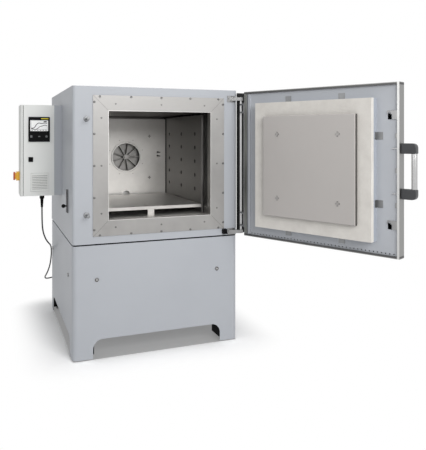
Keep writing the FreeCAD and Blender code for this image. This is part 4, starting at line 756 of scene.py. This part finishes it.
# %% Seal between the housing and its door
panel_low, panel_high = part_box("control_panel")
SEAL_WIDTH = 2.4
SEAL_DEPTH = 7.0
seal_line = straight(0.0, 4.0, 0.0, (panel_high.z - panel_low.z) / MM - 4.0)
seal_place = (panel_low.x - 0.0015, panel_high.y, panel_low.z)
seal = make_piece("panel_seal", [
    stand(ribbon(seal_line, SEAL_WIDTH, 0.0, SEAL_DEPTH), seal_place, X, Z, FRONT),
], "cabinet")

# %% [markdown]
# The grille is one pressed plate. Its depth is a function of the height alone inside a plain
# border: each louvre leans outwards towards its lower edge and then falls back into a slot,
# which draws the dark lines, made darker still by painted shade in the slots.

# %% Louvred grille
grille_low, grille_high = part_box("vent_grille")
GRILLE_WIDTH = (grille_high.x - grille_low.x) / MM
GRILLE_HEIGHT = (grille_high.z - grille_low.z) / MM
GRILLE_PROUD = (grille_high.y - grille_low.y) / MM
GRILLE_RIM = 1.5
LOUVRES = 9


def grille_grid():
    """Depth over width and height: border at 5 mm, louvres between 1 and 7 mm, a fuller lower lip."""
    near = np.array([0, GRILLE_RIM, 8, 9])
    across = np.concatenate([near, GRILLE_WIDTH - near[::-1]])
    phase = np.array([0.0, 0.02, 0.24, 0.26, 0.98])
    low = 14.0
    pitch = (GRILLE_HEIGHT - 8 - low) / LOUVRES
    rows = (low + pitch * (np.arange(LOUVRES)[:, None] + phase[None])).reshape(-1)
    top = [GRILLE_HEIGHT - 7.9, GRILLE_HEIGHT - GRILLE_RIM, GRILLE_HEIGHT]
    up = np.concatenate([[0, GRILLE_RIM, 6, 12.9], rows, top])
    louvre = np.tile([5.0, 0.6, 0.6, 7.4, 5.2], LOUVRES)
    slats = np.concatenate([[0, GRILLE_PROUD, GRILLE_PROUD, 6.0], louvre, [5.0, 5.0, 0]])
    frame_depth = np.interp(up, [0, GRILLE_RIM, 8, 14, *top[1:]],
                            [0, GRILLE_PROUD, GRILLE_PROUD, 5.5, 5.0, 0])
    inside = np.array([0, 0, 0, 1, 1, 0, 0, 0], bool)
    edge = np.array([0, 1, 1, 1, 1, 1, 1, 0])
    depth = np.where(inside[None], slats[:, None], frame_depth[:, None]) * edge[None]
    wide = np.broadcast_to(across[None], depth.shape)
    tall = np.broadcast_to(up[:, None], depth.shape)
    return np.stack([wide, tall, depth], axis=-1)


front_grid = grille_grid()
back_grid = front_grid * np.array([1.0, 1.0, 0.0])
grille_corner = (grille_low.x, grille_high.y, grille_low.z)
grille = make_piece("louvre_plate", [
    stand(front_grid, grille_corner, X, Z, FRONT),
    stand(back_grid, grille_corner, X, Z, FRONT),
], "cabinet", ["vent_grille"])

# %% [markdown]
# Finishes share three effects, so each is a node group with named sockets: fine grain for
# paint and mouldings, drawn-out lines for rolled or ground metal, and paler edges in patches,
# a painted highlight that also reads as rubbing. All of them read Object coordinates, so they
# stay put when a piece moves.

# %% Shared effects
def new_group(name, inputs, outputs):
    group = bpy.data.node_groups.new(name, "ShaderNodeTree")
    for label, kind, value in inputs:
        socket = group.interface.new_socket(label, in_out="INPUT", socket_type=kind)
        socket.default_value = value
    for label in outputs:
        group.interface.new_socket(label, in_out="OUTPUT", socket_type="NodeSocketFloat")
    start = group.nodes.new("NodeGroupInput")
    end = group.nodes.new("NodeGroupOutput")
    return group, start.outputs, end


def noise(tree, where, scale, detail=3.0, roughness=0.5):
    """Strength of a noise at a place."""
    node = add_node(tree, "TexNoise", {
        "Vector": where, "Scale": scale, "Detail": detail, "Roughness": roughness})
    return node.outputs["Fac"]


def spread(tree, value, low, high, low_out=0.0, high_out=1.0):
    """A value carried from one range to another and held at both ends."""
    node = add_node(tree, "MapRange", {
        "Value": value, "From Min": low, "From Max": high, "To Min": low_out, "To Max": high_out})
    return node.outputs[0]


def grain_group():
    """Object-space noise at a given scale, once fine for the height and once broad for the tone."""
    group, start, end = new_group(
        "fine grain", [("Scale", "NodeSocketFloat", 400.0), ("Broad Scale", "NodeSocketFloat", 3.0)],
        ["Height", "Tone"])
    where = object_place(group)
    fine = noise(group, where, start["Scale"], 2.0)
    broad = noise(group, where, start["Broad Scale"], 4.0, 0.6)
    fill(group, end, {"Height": fine, "Tone": broad})
    return group


def line_group():
    """Noise squeezed across one direction, which draws it out into lines along the other two."""
    group, start, end = new_group(
        "drawn lines", [("Squeeze", "NodeSocketVector", (20.0, 20.0, 900.0))], ["Height", "Tone"])
    where = object_place(group)
    squeezed = vector_maths(group, "MULTIPLY", where, start["Squeeze"])["Vector"]
    lines = noise(group, squeezed, 1.0, 3.0, 0.6)
    cloud = noise(group, where, 5.0, 3.0, 0.6)
    fill(group, end, {"Height": lines, "Tone": cloud})
    return group


# The mask made here carries a painted highlight along edges, broken into patches like rubbing.
def edge_highlight_group():
    """Compares the true normal with a rounded one; they differ only close to an edge."""
    group, start, end = new_group("edge highlight and rub", [("Amount", "NodeSocketFloat", 1.0)], ["Mask"])
    round_normal = add_node(group, "Bevel", {"Radius": 0.0016})
    round_normal.samples = 4
    true_normal = add_node(group, "NewGeometry").outputs["Normal"]
    likeness = vector_maths(group, "DOT_PRODUCT", round_normal.outputs[0], true_normal)["Value"]
    patches = noise(group, object_place(group), 55.0)
    mask = maths(group, "MULTIPLY", spread(group, likeness, 0.995, 0.90), patches)
    fill(group, end, {"Mask": maths(group, "MULTIPLY", mask, start["Amount"])})
    return group


GRAIN = grain_group()
LINES = line_group()
EDGE_HIGHLIGHT = edge_highlight_group()
print("groups:", GRAIN.name, LINES.name, EDGE_HIGHLIGHT.name)

# %% [markdown]
# A finish is built up in the same order each time: a base colour that drifts a little over
# the surface, a roughness that drifts with it, and a bump that is far too small to see as a
# shape but breaks up the reflections. Constant values are set on the shader's own sockets.

# %% Building a finish
TONE_LOW = 0.3
TONE_HIGH = 0.7


def start_material(name, roughness, metallic=0.0, coat=0.0, shine=0.5):
    material = bpy.data.materials.new(name)
    material.use_nodes = True
    tree = material.node_tree
    shader = tree.nodes["Principled BSDF"]
    fill(tree, shader, {
        "Roughness": roughness, "Metallic": metallic, "Coat Weight": coat, "Specular IOR Level": shine})
    return material, tree, shader


def mix_base(tree, shader, mask, first, second):
    """Gives the shader a base colour between two, by a mask."""
    mix = add_node(tree, "Mix")
    mix.data_type = "RGBA"
    fill(tree, mix, {"Factor": mask, "A": first, "B": second})
    fill(tree, shader, {"Base Color": mix.outputs["Result"]})


def drift_colour(tree, shader, tone, dark, light):
    """Base colour between two shades, by a tone that runs from about 0.3 to 0.7."""
    mix_base(tree, shader, spread(tree, tone, TONE_LOW, TONE_HIGH), (*dark, 1.0), (*light, 1.0))


def shade_where(tree, shader, mask, colour):
    """Puts a colour over the base colour where a mask is one."""
    under = shader.inputs["Base Color"].links[0].from_socket
    mix_base(tree, shader, mask, under, (*colour, 1.0))


def drift_roughness(tree, shader, tone, low, high):
    fill(tree, shader, {"Roughness": spread(tree, tone, TONE_LOW, TONE_HIGH, low, high)})


def add_bump(tree, shader, height, strength, distance):
    bump = add_node(tree, "Bump", {"Strength": strength, "Distance": distance, "Height": height})
    fill(tree, shader, {"Normal": bump.outputs[0]})


def effect(tree, group, inputs):
    """One of the shared effects with its own settings; gives back its outputs."""
    node = add_node(tree, "Group")
    node.node_tree = group
    fill(tree, node, inputs)
    return node.outputs


def highlight_and_rub_edges(tree, shader, colour, amount):
    """Lays a paler colour along the edges in patches: a painted edge highlight that also reads as rubbing."""
    shade_where(tree, shader, effect(tree, EDGE_HIGHLIGHT, {"Amount": amount})["Mask"], colour)


def painted(name, dark, light, scale, roughness, edge):
    """Powder coat: orange-peel bump, slight drift of tone, paler edges as a painted highlight and rubbing."""
    material, tree, shader = start_material(name, roughness)
    grain = effect(tree, GRAIN, {"Scale": scale, "Broad Scale": 2.2})
    drift_colour(tree, shader, grain["Tone"], dark, light)
    drift_roughness(tree, shader, grain["Tone"], roughness - 0.05, roughness + 0.06)
    add_bump(tree, shader, grain["Height"], 0.25, 0.0004)
    # The edge colour is a painted highlight, laid in patches like rubbing.
    highlight_and_rub_edges(tree, shader, edge, 0.6)
    return material


def sheet_metal(name, dark, light, squeeze, roughness, metallic=0.9):
    """Rolled or ground sheet: fine lines one way and a cloudy tone."""
    material, tree, shader = start_material(name, roughness, metallic)
    lines = effect(tree, LINES, {"Squeeze": squeeze})
    drift_colour(tree, shader, lines["Tone"], dark, light)
    drift_roughness(tree, shader, lines["Tone"], roughness - 0.07, roughness + 0.09)
    add_bump(tree, shader, lines["Height"], 0.22, 0.0002)
    return material


def moulded(name, dark, light, scale, roughness, coat=0.0, shine=0.5):
    """Plastic or rubber: fine grain and a barely visible drift."""
    material, tree, shader = start_material(name, roughness, 0.0, coat, shine)
    grain = effect(tree, GRAIN, {"Scale": scale, "Broad Scale": 9.0})
    drift_colour(tree, shader, grain["Tone"], dark, light)
    drift_roughness(tree, shader, grain["Tone"], roughness - 0.05, roughness + 0.05)
    add_bump(tree, shader, grain["Height"], 0.2, 0.0003)
    return material


def fibre_board(name, dark, light):
    """Pressed fibre: chalky, mottled, with a soft uneven surface."""
    material, tree, shader = start_material(name, 0.95)
    grain = effect(tree, GRAIN, {"Scale": 160.0, "Broad Scale": 14.0})
    drift_colour(tree, shader, grain["Tone"], dark, light)
    add_bump(tree, shader, grain["Height"], 0.5, 0.0012)
    return material


print("paint, sheet, moulding and fibre can be made")

# %% [markdown]
# Some sheets change along themselves: dark mitre joints, painted shade on folds, ducts, slots
# and round the air holes, and painted highlights on some edges. Each is one more colour laid
# over the base colour where a mask is one, and each mask is worked out from the Object
# coordinates in metres.

# %% Bands and lines on a metal
MOUTH_HALF = 0.300
HOLE_FIRST_Y = 0.204
HOLE_PITCH_Y = 0.270
HOLE_FIRST_Z = 0.887
HOLE_PITCH_Z = 0.086
HOLE_SHADE_RADIUS = 0.0120
MOUTH_GAP_Y = -0.003
MOUTH_FLOOR_Z = 0.800
CEILING_Z = 1.350
FOLD_INSET = 0.008
EDGE_INSET = 6.5


def opened(material):
    """A finish's node tree, its shader and the Object coordinates in metres."""
    tree = material.node_tree
    axes = add_node(tree, "SeparateXYZ", {0: object_place(tree)}).outputs
    return tree, tree.nodes["Principled BSDF"], axes


def near_value(tree, value, place, inner, outer):
    """One where a coordinate is within inner of a place, falling to nought at outer."""
    away = maths(tree, "ABSOLUTE", maths(tree, "SUBTRACT", value, place))
    return spread(tree, away, inner, outer, 1.0, 0.0)


def mitred_metal(name):
    """Collar metal: cloudy tone, dark mitre joints on the diagonals and a painted highlight on the inner
    edge.
    """
    material = sheet_metal(name, (0.29, 0.283, 0.275), (0.36, 0.352, 0.342), (8.0, 8.0, 260.0), 0.46, 0.55)
    tree, shader, axes = opened(material)
    across = maths(tree, "ABSOLUTE", maths(tree, "SUBTRACT", axes["X"], COLLAR_MIDDLE.x))
    upright = maths(tree, "ABSOLUTE", maths(tree, "SUBTRACT", axes["Z"], COLLAR_MIDDLE.z))
    mitre = near_value(tree, maths(tree, "SUBTRACT", across, upright), 0.0, 0.0006, 0.0014)
    shade_where(tree, shader, mitre, (0.16, 0.155, 0.15))
    # Painted highlight along the inner edge of the opening.
    rim = near_value(tree, maths(tree, "MAXIMUM", across, upright), MOUTH_HALF, 0.0014, 0.0026)
    shade_where(tree, shader, rim, (0.66, 0.65, 0.635))
    return material


def door_axes(tree):
    """Two coordinates of the door in metres: along it from the pivot, and out of its inner face."""
    place = object_place(tree)
    values = []
    for direction in (DOOR_ALONG, DOOR_OUT):
        reach = vector_maths(tree, "DOT_PRODUCT", place, direction)["Value"]
        values.append(maths(tree, "SUBTRACT", reach, float(PIVOT @ direction)))
    return values


def door_metal(name):
    """Door shell: painted shade in a band on each fold along top and bottom, and a painted highlight on the
    lip of its free edge.
    """
    material = sheet_metal(name, (0.28, 0.28, 0.275), (0.305, 0.305, 0.30), (6.0, 6.0, 420.0), 0.33, 0.9)
    tree, shader, axes = opened(material)
    # Painted shade on the inner side of the top and bottom folds.
    for lip in (door_low.z + FOLD_INSET, door_high.z - FOLD_INSET):
        shade_where(tree, shader, near_value(tree, axes["Z"], lip, 0.0040, 0.0055), (0.09, 0.09, 0.09))
    along, depth = door_axes(tree)
    # Painted highlight on the lip of the free edge, on its inner side only.
    edge = near_value(tree, along, (DOOR_EDGE + EDGE_INSET) * MM, 0.0055, 0.0062)
    inside = spread(tree, depth, 0.022, 0.024)
    shade_where(tree, shader, maths(tree, "MULTIPLY", edge, inside), (0.60, 0.60, 0.59))
    return material


def duct_metal(name):
    """Chamber liner: plain sheet in the chamber, with painted shade: near black in the side ducts and darker
    above the ceiling.
    """
    material = sheet_metal(name, (0.36, 0.35, 0.335), (0.48, 0.468, 0.45), (6.0, 6.0, 500.0), 0.42)
    tree, shader, axes = opened(material)
    across = maths(tree, "ABSOLUTE", maths(tree, "SUBTRACT", axes["X"], COLLAR_MIDDLE.x))
    # Painted shade: the walls of the side ducts are made near black.
    duct_shade = spread(tree, across, MOUTH_HALF + 0.0005, MOUTH_HALF + 0.0025)
    shade_where(tree, shader, duct_shade, (0.010, 0.009, 0.008))
    # Painted shade on the ceiling.
    above = spread(tree, axes["Z"], CEILING_Z - 0.004, CEILING_Z)
    shade_where(tree, shader, above, (0.17, 0.16, 0.15))
    return material


def shaded_hole_baffle(name):
    """Air guide sheet: dull metal with painted shade, a dark disc over and round each of its air holes.

    The holes stand on a grid, so the distance to the nearest one comes from the coordinates
    wrapped by the pitch: w = (v - first + pitch / 2) mod pitch - pitch / 2."""
    material = sheet_metal(name, (0.27, 0.26, 0.25), (0.36, 0.35, 0.335), (6.0, 6.0, 500.0), 0.42)
    tree, shader, axes = opened(material)
    squares = []
    for axis, first, pitch in (("Y", HOLE_FIRST_Y, HOLE_PITCH_Y), ("Z", HOLE_FIRST_Z, HOLE_PITCH_Z)):
        shifted = maths(tree, "ADD", axes[axis], pitch / 2 - first)
        wrapped = maths(tree, "SUBTRACT", maths(tree, "FLOORED_MODULO", shifted, pitch), pitch / 2)
        squares.append(maths(tree, "MULTIPLY", wrapped, wrapped))
    radius = maths(tree, "SQRT", maths(tree, "ADD", *squares))
    # Painted shade: a dark disc over and round each air hole, in the five rows of holes.
    ring = near_value(tree, radius, 0.0, HOLE_SHADE_RADIUS, HOLE_SHADE_RADIUS + 0.002)
    middle_row = HOLE_FIRST_Z + 2 * HOLE_PITCH_Z
    rows = near_value(tree, axes["Z"], middle_row, 2.4 * HOLE_PITCH_Z, 2.5 * HOLE_PITCH_Z)
    shade_where(tree, shader, maths(tree, "MULTIPLY", ring, rows), (0.02, 0.018, 0.016))
    return material


def mouth_metal(name):
    """Mouth of the chamber: light sheet, with painted shade, near black, where it ends at the air gap."""
    material = sheet_metal(name, (0.40, 0.39, 0.375), (0.50, 0.488, 0.47), (6.0, 6.0, 500.0), 0.42)
    tree, shader, axes = opened(material)
    # Painted shade at the deep end of the mouth, above its floor.
    deep = spread(tree, axes["Y"], MOUTH_GAP_Y - 0.005, MOUTH_GAP_Y)
    above = spread(tree, axes["Z"], MOUTH_FLOOR_Z - 0.010, MOUTH_FLOOR_Z)
    shade_where(tree, shader, maths(tree, "MULTIPLY", deep, above), (0.012, 0.011, 0.010))
    return material


def plug_metal(name):
    """Door plug: plain warm grey face, with painted shade making its narrow sides much darker."""
    material = sheet_metal(name, (0.47, 0.447, 0.43), (0.50, 0.475, 0.457), (3.0, 3.0, 300.0), 0.5, 0.35)
    tree, shader, axes = opened(material)
    face = PLUG_FACE * MM
    # Painted shade on the plug's narrow sides.
    side = spread(tree, door_axes(tree)[1], face - 0.0035, face - 0.0020, 1.0, 0.0)
    shade_where(tree, shader, side, (0.10, 0.095, 0.09))
    return material


def louvre_paint(name):
    """Grille paint with painted shade in the slots: dark where the plate lies over a millimetre deep."""
    material = painted(name, (0.72, 0.73, 0.71), (0.75, 0.76, 0.74), 900.0, 0.50, (0.84, 0.84, 0.82))
    tree, shader, axes = opened(material)
    # Painted shade in the slots of the louvres.
    slot = spread(tree, axes["Y"], grille_high.y - 0.0022, grille_high.y - 0.0012)
    shade_where(tree, shader, slot, (0.10, 0.10, 0.10))
    return material


def two_tone(name, base, grip, border, height):
    """Switch plastic: yellow on the round base, red on the raised grip, split by depth."""
    material = moulded(name, base, tuple(min(1.0, v * 1.08) for v in base), 900.0, 0.35, 0.3)
    tree, shader, axes = opened(material)
    split = spread(tree, axes["X"], border - height, border + height, 1.0, 0.0)
    shade_where(tree, shader, split, grip)
    return material


print("banded finishes can be made")

# %% [markdown]
# Each material slot of the record gets one finish. A few nodes get their own version: the
# collar with its mitres, the warm grey plate of the door's plug, the chamber's sheets, which
# are duller than the shelf, and the dark zinc of clips and screws.

# %% Finishes
ROLLED = (6.0, 6.0, 500.0)
FINISHES = {
    "grey_paint": painted("grey_paint", (0.455, 0.475, 0.51), (0.48, 0.50, 0.535), 700.0, 0.46,
                          (0.60, 0.62, 0.65)),
    "box_paint": painted("box_paint", (0.76, 0.77, 0.75), (0.79, 0.80, 0.78), 900.0, 0.50,
                         (0.82, 0.82, 0.80)),
    "stainless": sheet_metal("stainless", (0.42, 0.408, 0.392), (0.54, 0.526, 0.505), ROLLED, 0.40),
    "polished_frame": door_metal("polished_frame"),
    "steel": sheet_metal("steel", (0.24, 0.24, 0.24), (0.34, 0.34, 0.34), (40.0, 40.0, 900.0), 0.30, 1.0),
    "heater_alloy": moulded("heater_alloy", (0.06, 0.055, 0.05), (0.11, 0.10, 0.09), 500.0, 0.7),
    "fibre": fibre_board("fibre", (0.70, 0.67, 0.63), (0.79, 0.765, 0.72)),
    "black_plastic": moulded("black_plastic", (0.003, 0.003, 0.0035), (0.007, 0.007, 0.008), 1200.0, 0.6,
                             0.0, 0.07),
    "screen_glass": moulded("screen_glass", (0.97, 0.98, 0.97), (1.0, 1.0, 1.0), 300.0, 0.3, 0.2),
    "yellow_plastic": moulded("yellow_plastic", (0.80, 0.42, 0.01), (0.88, 0.50, 0.02), 900.0, 0.35, 0.3),
    "red_plastic": moulded("red_plastic", (0.55, 0.05, 0.01), (0.65, 0.08, 0.015), 900.0, 0.35, 0.3),
    "motor_grey": painted("motor_grey", (0.10, 0.105, 0.11), (0.13, 0.135, 0.14), 500.0, 0.5,
                          (0.3, 0.3, 0.3)),
    "cord_rubber": moulded("cord_rubber", (0.05, 0.05, 0.05), (0.08, 0.08, 0.08), 900.0, 0.6),
}
print(len(FINISHES), "finishes for the slots")

# %% Finishes of single nodes
switch_low, switch_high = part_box("main_switch")
GROUND = (50.0, 50.0, 300.0)
PRESSED = (50.0, 50.0, 400.0)
CUT = (30.0, 30.0, 200.0)
OWN_FINISH = {
    "collar_frame": mitred_metal("collar_metal"),
    "door_plug": plug_metal("plug_sheet"),
    "plug_fasteners": sheet_metal("plug_nuts", (0.30, 0.29, 0.28), (0.40, 0.39, 0.38), (60.0, 60.0, 300.0),
                                  0.4),
    "side_baffles": shaded_hole_baffle("baffle_sheet"),
    "throat_liner": mouth_metal("mouth_sheet"),
    "fan_shaft": sheet_metal("shaft_steel", (0.20, 0.195, 0.19), (0.30, 0.29, 0.28), GROUND, 0.4),
    "chamber_liner": duct_metal("liner_sheet"),
    # A darker copy of the door panel's paint: painted shade on the pan's sides.
    "insulation_pan": painted("pan_paint_shaded", (0.37, 0.40, 0.45), (0.40, 0.43, 0.48), 700.0, 0.46,
                              (0.6, 0.62, 0.65)),
    "slider_guide": sheet_metal("guide_zinc", (0.10, 0.10, 0.105), (0.16, 0.16, 0.165), PRESSED, 0.45),
    "pan_clips": sheet_metal("clip_zinc", (0.20, 0.205, 0.21), (0.30, 0.305, 0.31), PRESSED, 0.4),
    "main_switch": two_tone("switch_plastic", (0.85, 0.42, 0.01), (0.42, 0.07, 0.01),
                            (switch_low.x + switch_high.x) / 2, 0.0006),
    "fan_wheel": sheet_metal("wheel_sheet", (0.22, 0.213, 0.205), (0.32, 0.312, 0.30), CUT, 0.45),
    "fan_inlet_ring": sheet_metal("ring_metal", (0.44, 0.43, 0.415), (0.52, 0.51, 0.49), CUT, 0.35),
    "baffle_fixings": sheet_metal("dark_zinc", (0.16, 0.155, 0.15), (0.26, 0.25, 0.24), GROUND, 0.4),
    "thermocouples": moulded("probe_scale", (0.03, 0.028, 0.026), (0.06, 0.055, 0.05), 600.0, 0.6),
}


def dress(thing, material):
    thing.data.materials.clear()
    thing.data.materials.append(material)


for name in nodes:
    dress(bpy.data.objects[name], OWN_FINISH.get(name, FINISHES[SLOT_OF[name]]))
print(len(OWN_FINISH), "nodes with their own finish")

# %% Finishes of the drawn pieces
screw_zinc = sheet_metal("screw_zinc", (0.10, 0.10, 0.10), (0.20, 0.195, 0.19), (80.0, 80.0, 300.0), 0.4)
bright_tube = sheet_metal("bright_tube", (0.46, 0.46, 0.46), (0.54, 0.54, 0.54), (9.0, 9.0, 200.0), 0.20, 1.0)
pin_zinc = sheet_metal("pin_zinc", (0.16, 0.165, 0.17), (0.30, 0.305, 0.31), (80.0, 80.0, 300.0), 0.5)
# Near black: painted shade for the dark band behind the hinge rods.
cover_painted_shade = moulded("cover_painted_shade", (0.012, 0.012, 0.012), (0.02, 0.02, 0.021), 700.0, 0.6, 0.0, 0.15)
rod_chrome = sheet_metal("rod_chrome", (0.62, 0.62, 0.62), (0.70, 0.70, 0.70), (20.0, 20.0, 300.0), 0.35, 0.6)
strip_metal = sheet_metal("strip_metal", (0.17, 0.175, 0.165), (0.24, 0.245, 0.23), (6.0, 6.0, 400.0), 0.35)
bar_yellow = moulded("bar_yellow", (0.75, 0.62, 0.02), (0.80, 0.68, 0.03), 900.0, 0.5)
bracket_grey = moulded("bracket_grey", (0.035, 0.037, 0.04), (0.05, 0.052, 0.055), 900.0, 0.38, 0.1, 0.35)
DRAWN_FINISH = [
    (cord, FINISHES["cord_rubber"]), (collar_screws, screw_zinc), (strikers, pin_zinc),
    (knob, FINISHES["black_plastic"]), (glands, FINISHES["black_plastic"]), (handle_brackets, bracket_grey),
    (handle_grip, bright_tube), (rods, rod_chrome), (chart, FINISHES["black_plastic"]),
    (top_bar, bar_yellow), (bezel_keys, FINISHES["motor_grey"]), (grille, louvre_paint("louvre_paint")),
    (seal, FINISHES["black_plastic"]), (cover_strip, strip_metal), (hinge_cover, cover_painted_shade),
    (lock_rings, screw_zinc), (lock_heads, bright_tube), (cross_lines, screw_zinc), (bolts, bright_tube),
    (edge_strip, FINISHES["grey_paint"]),
]
for piece, material in DRAWN_FINISH:
    dress(piece, material)
print(len(DRAWN_FINISH), "drawn pieces with a finish")
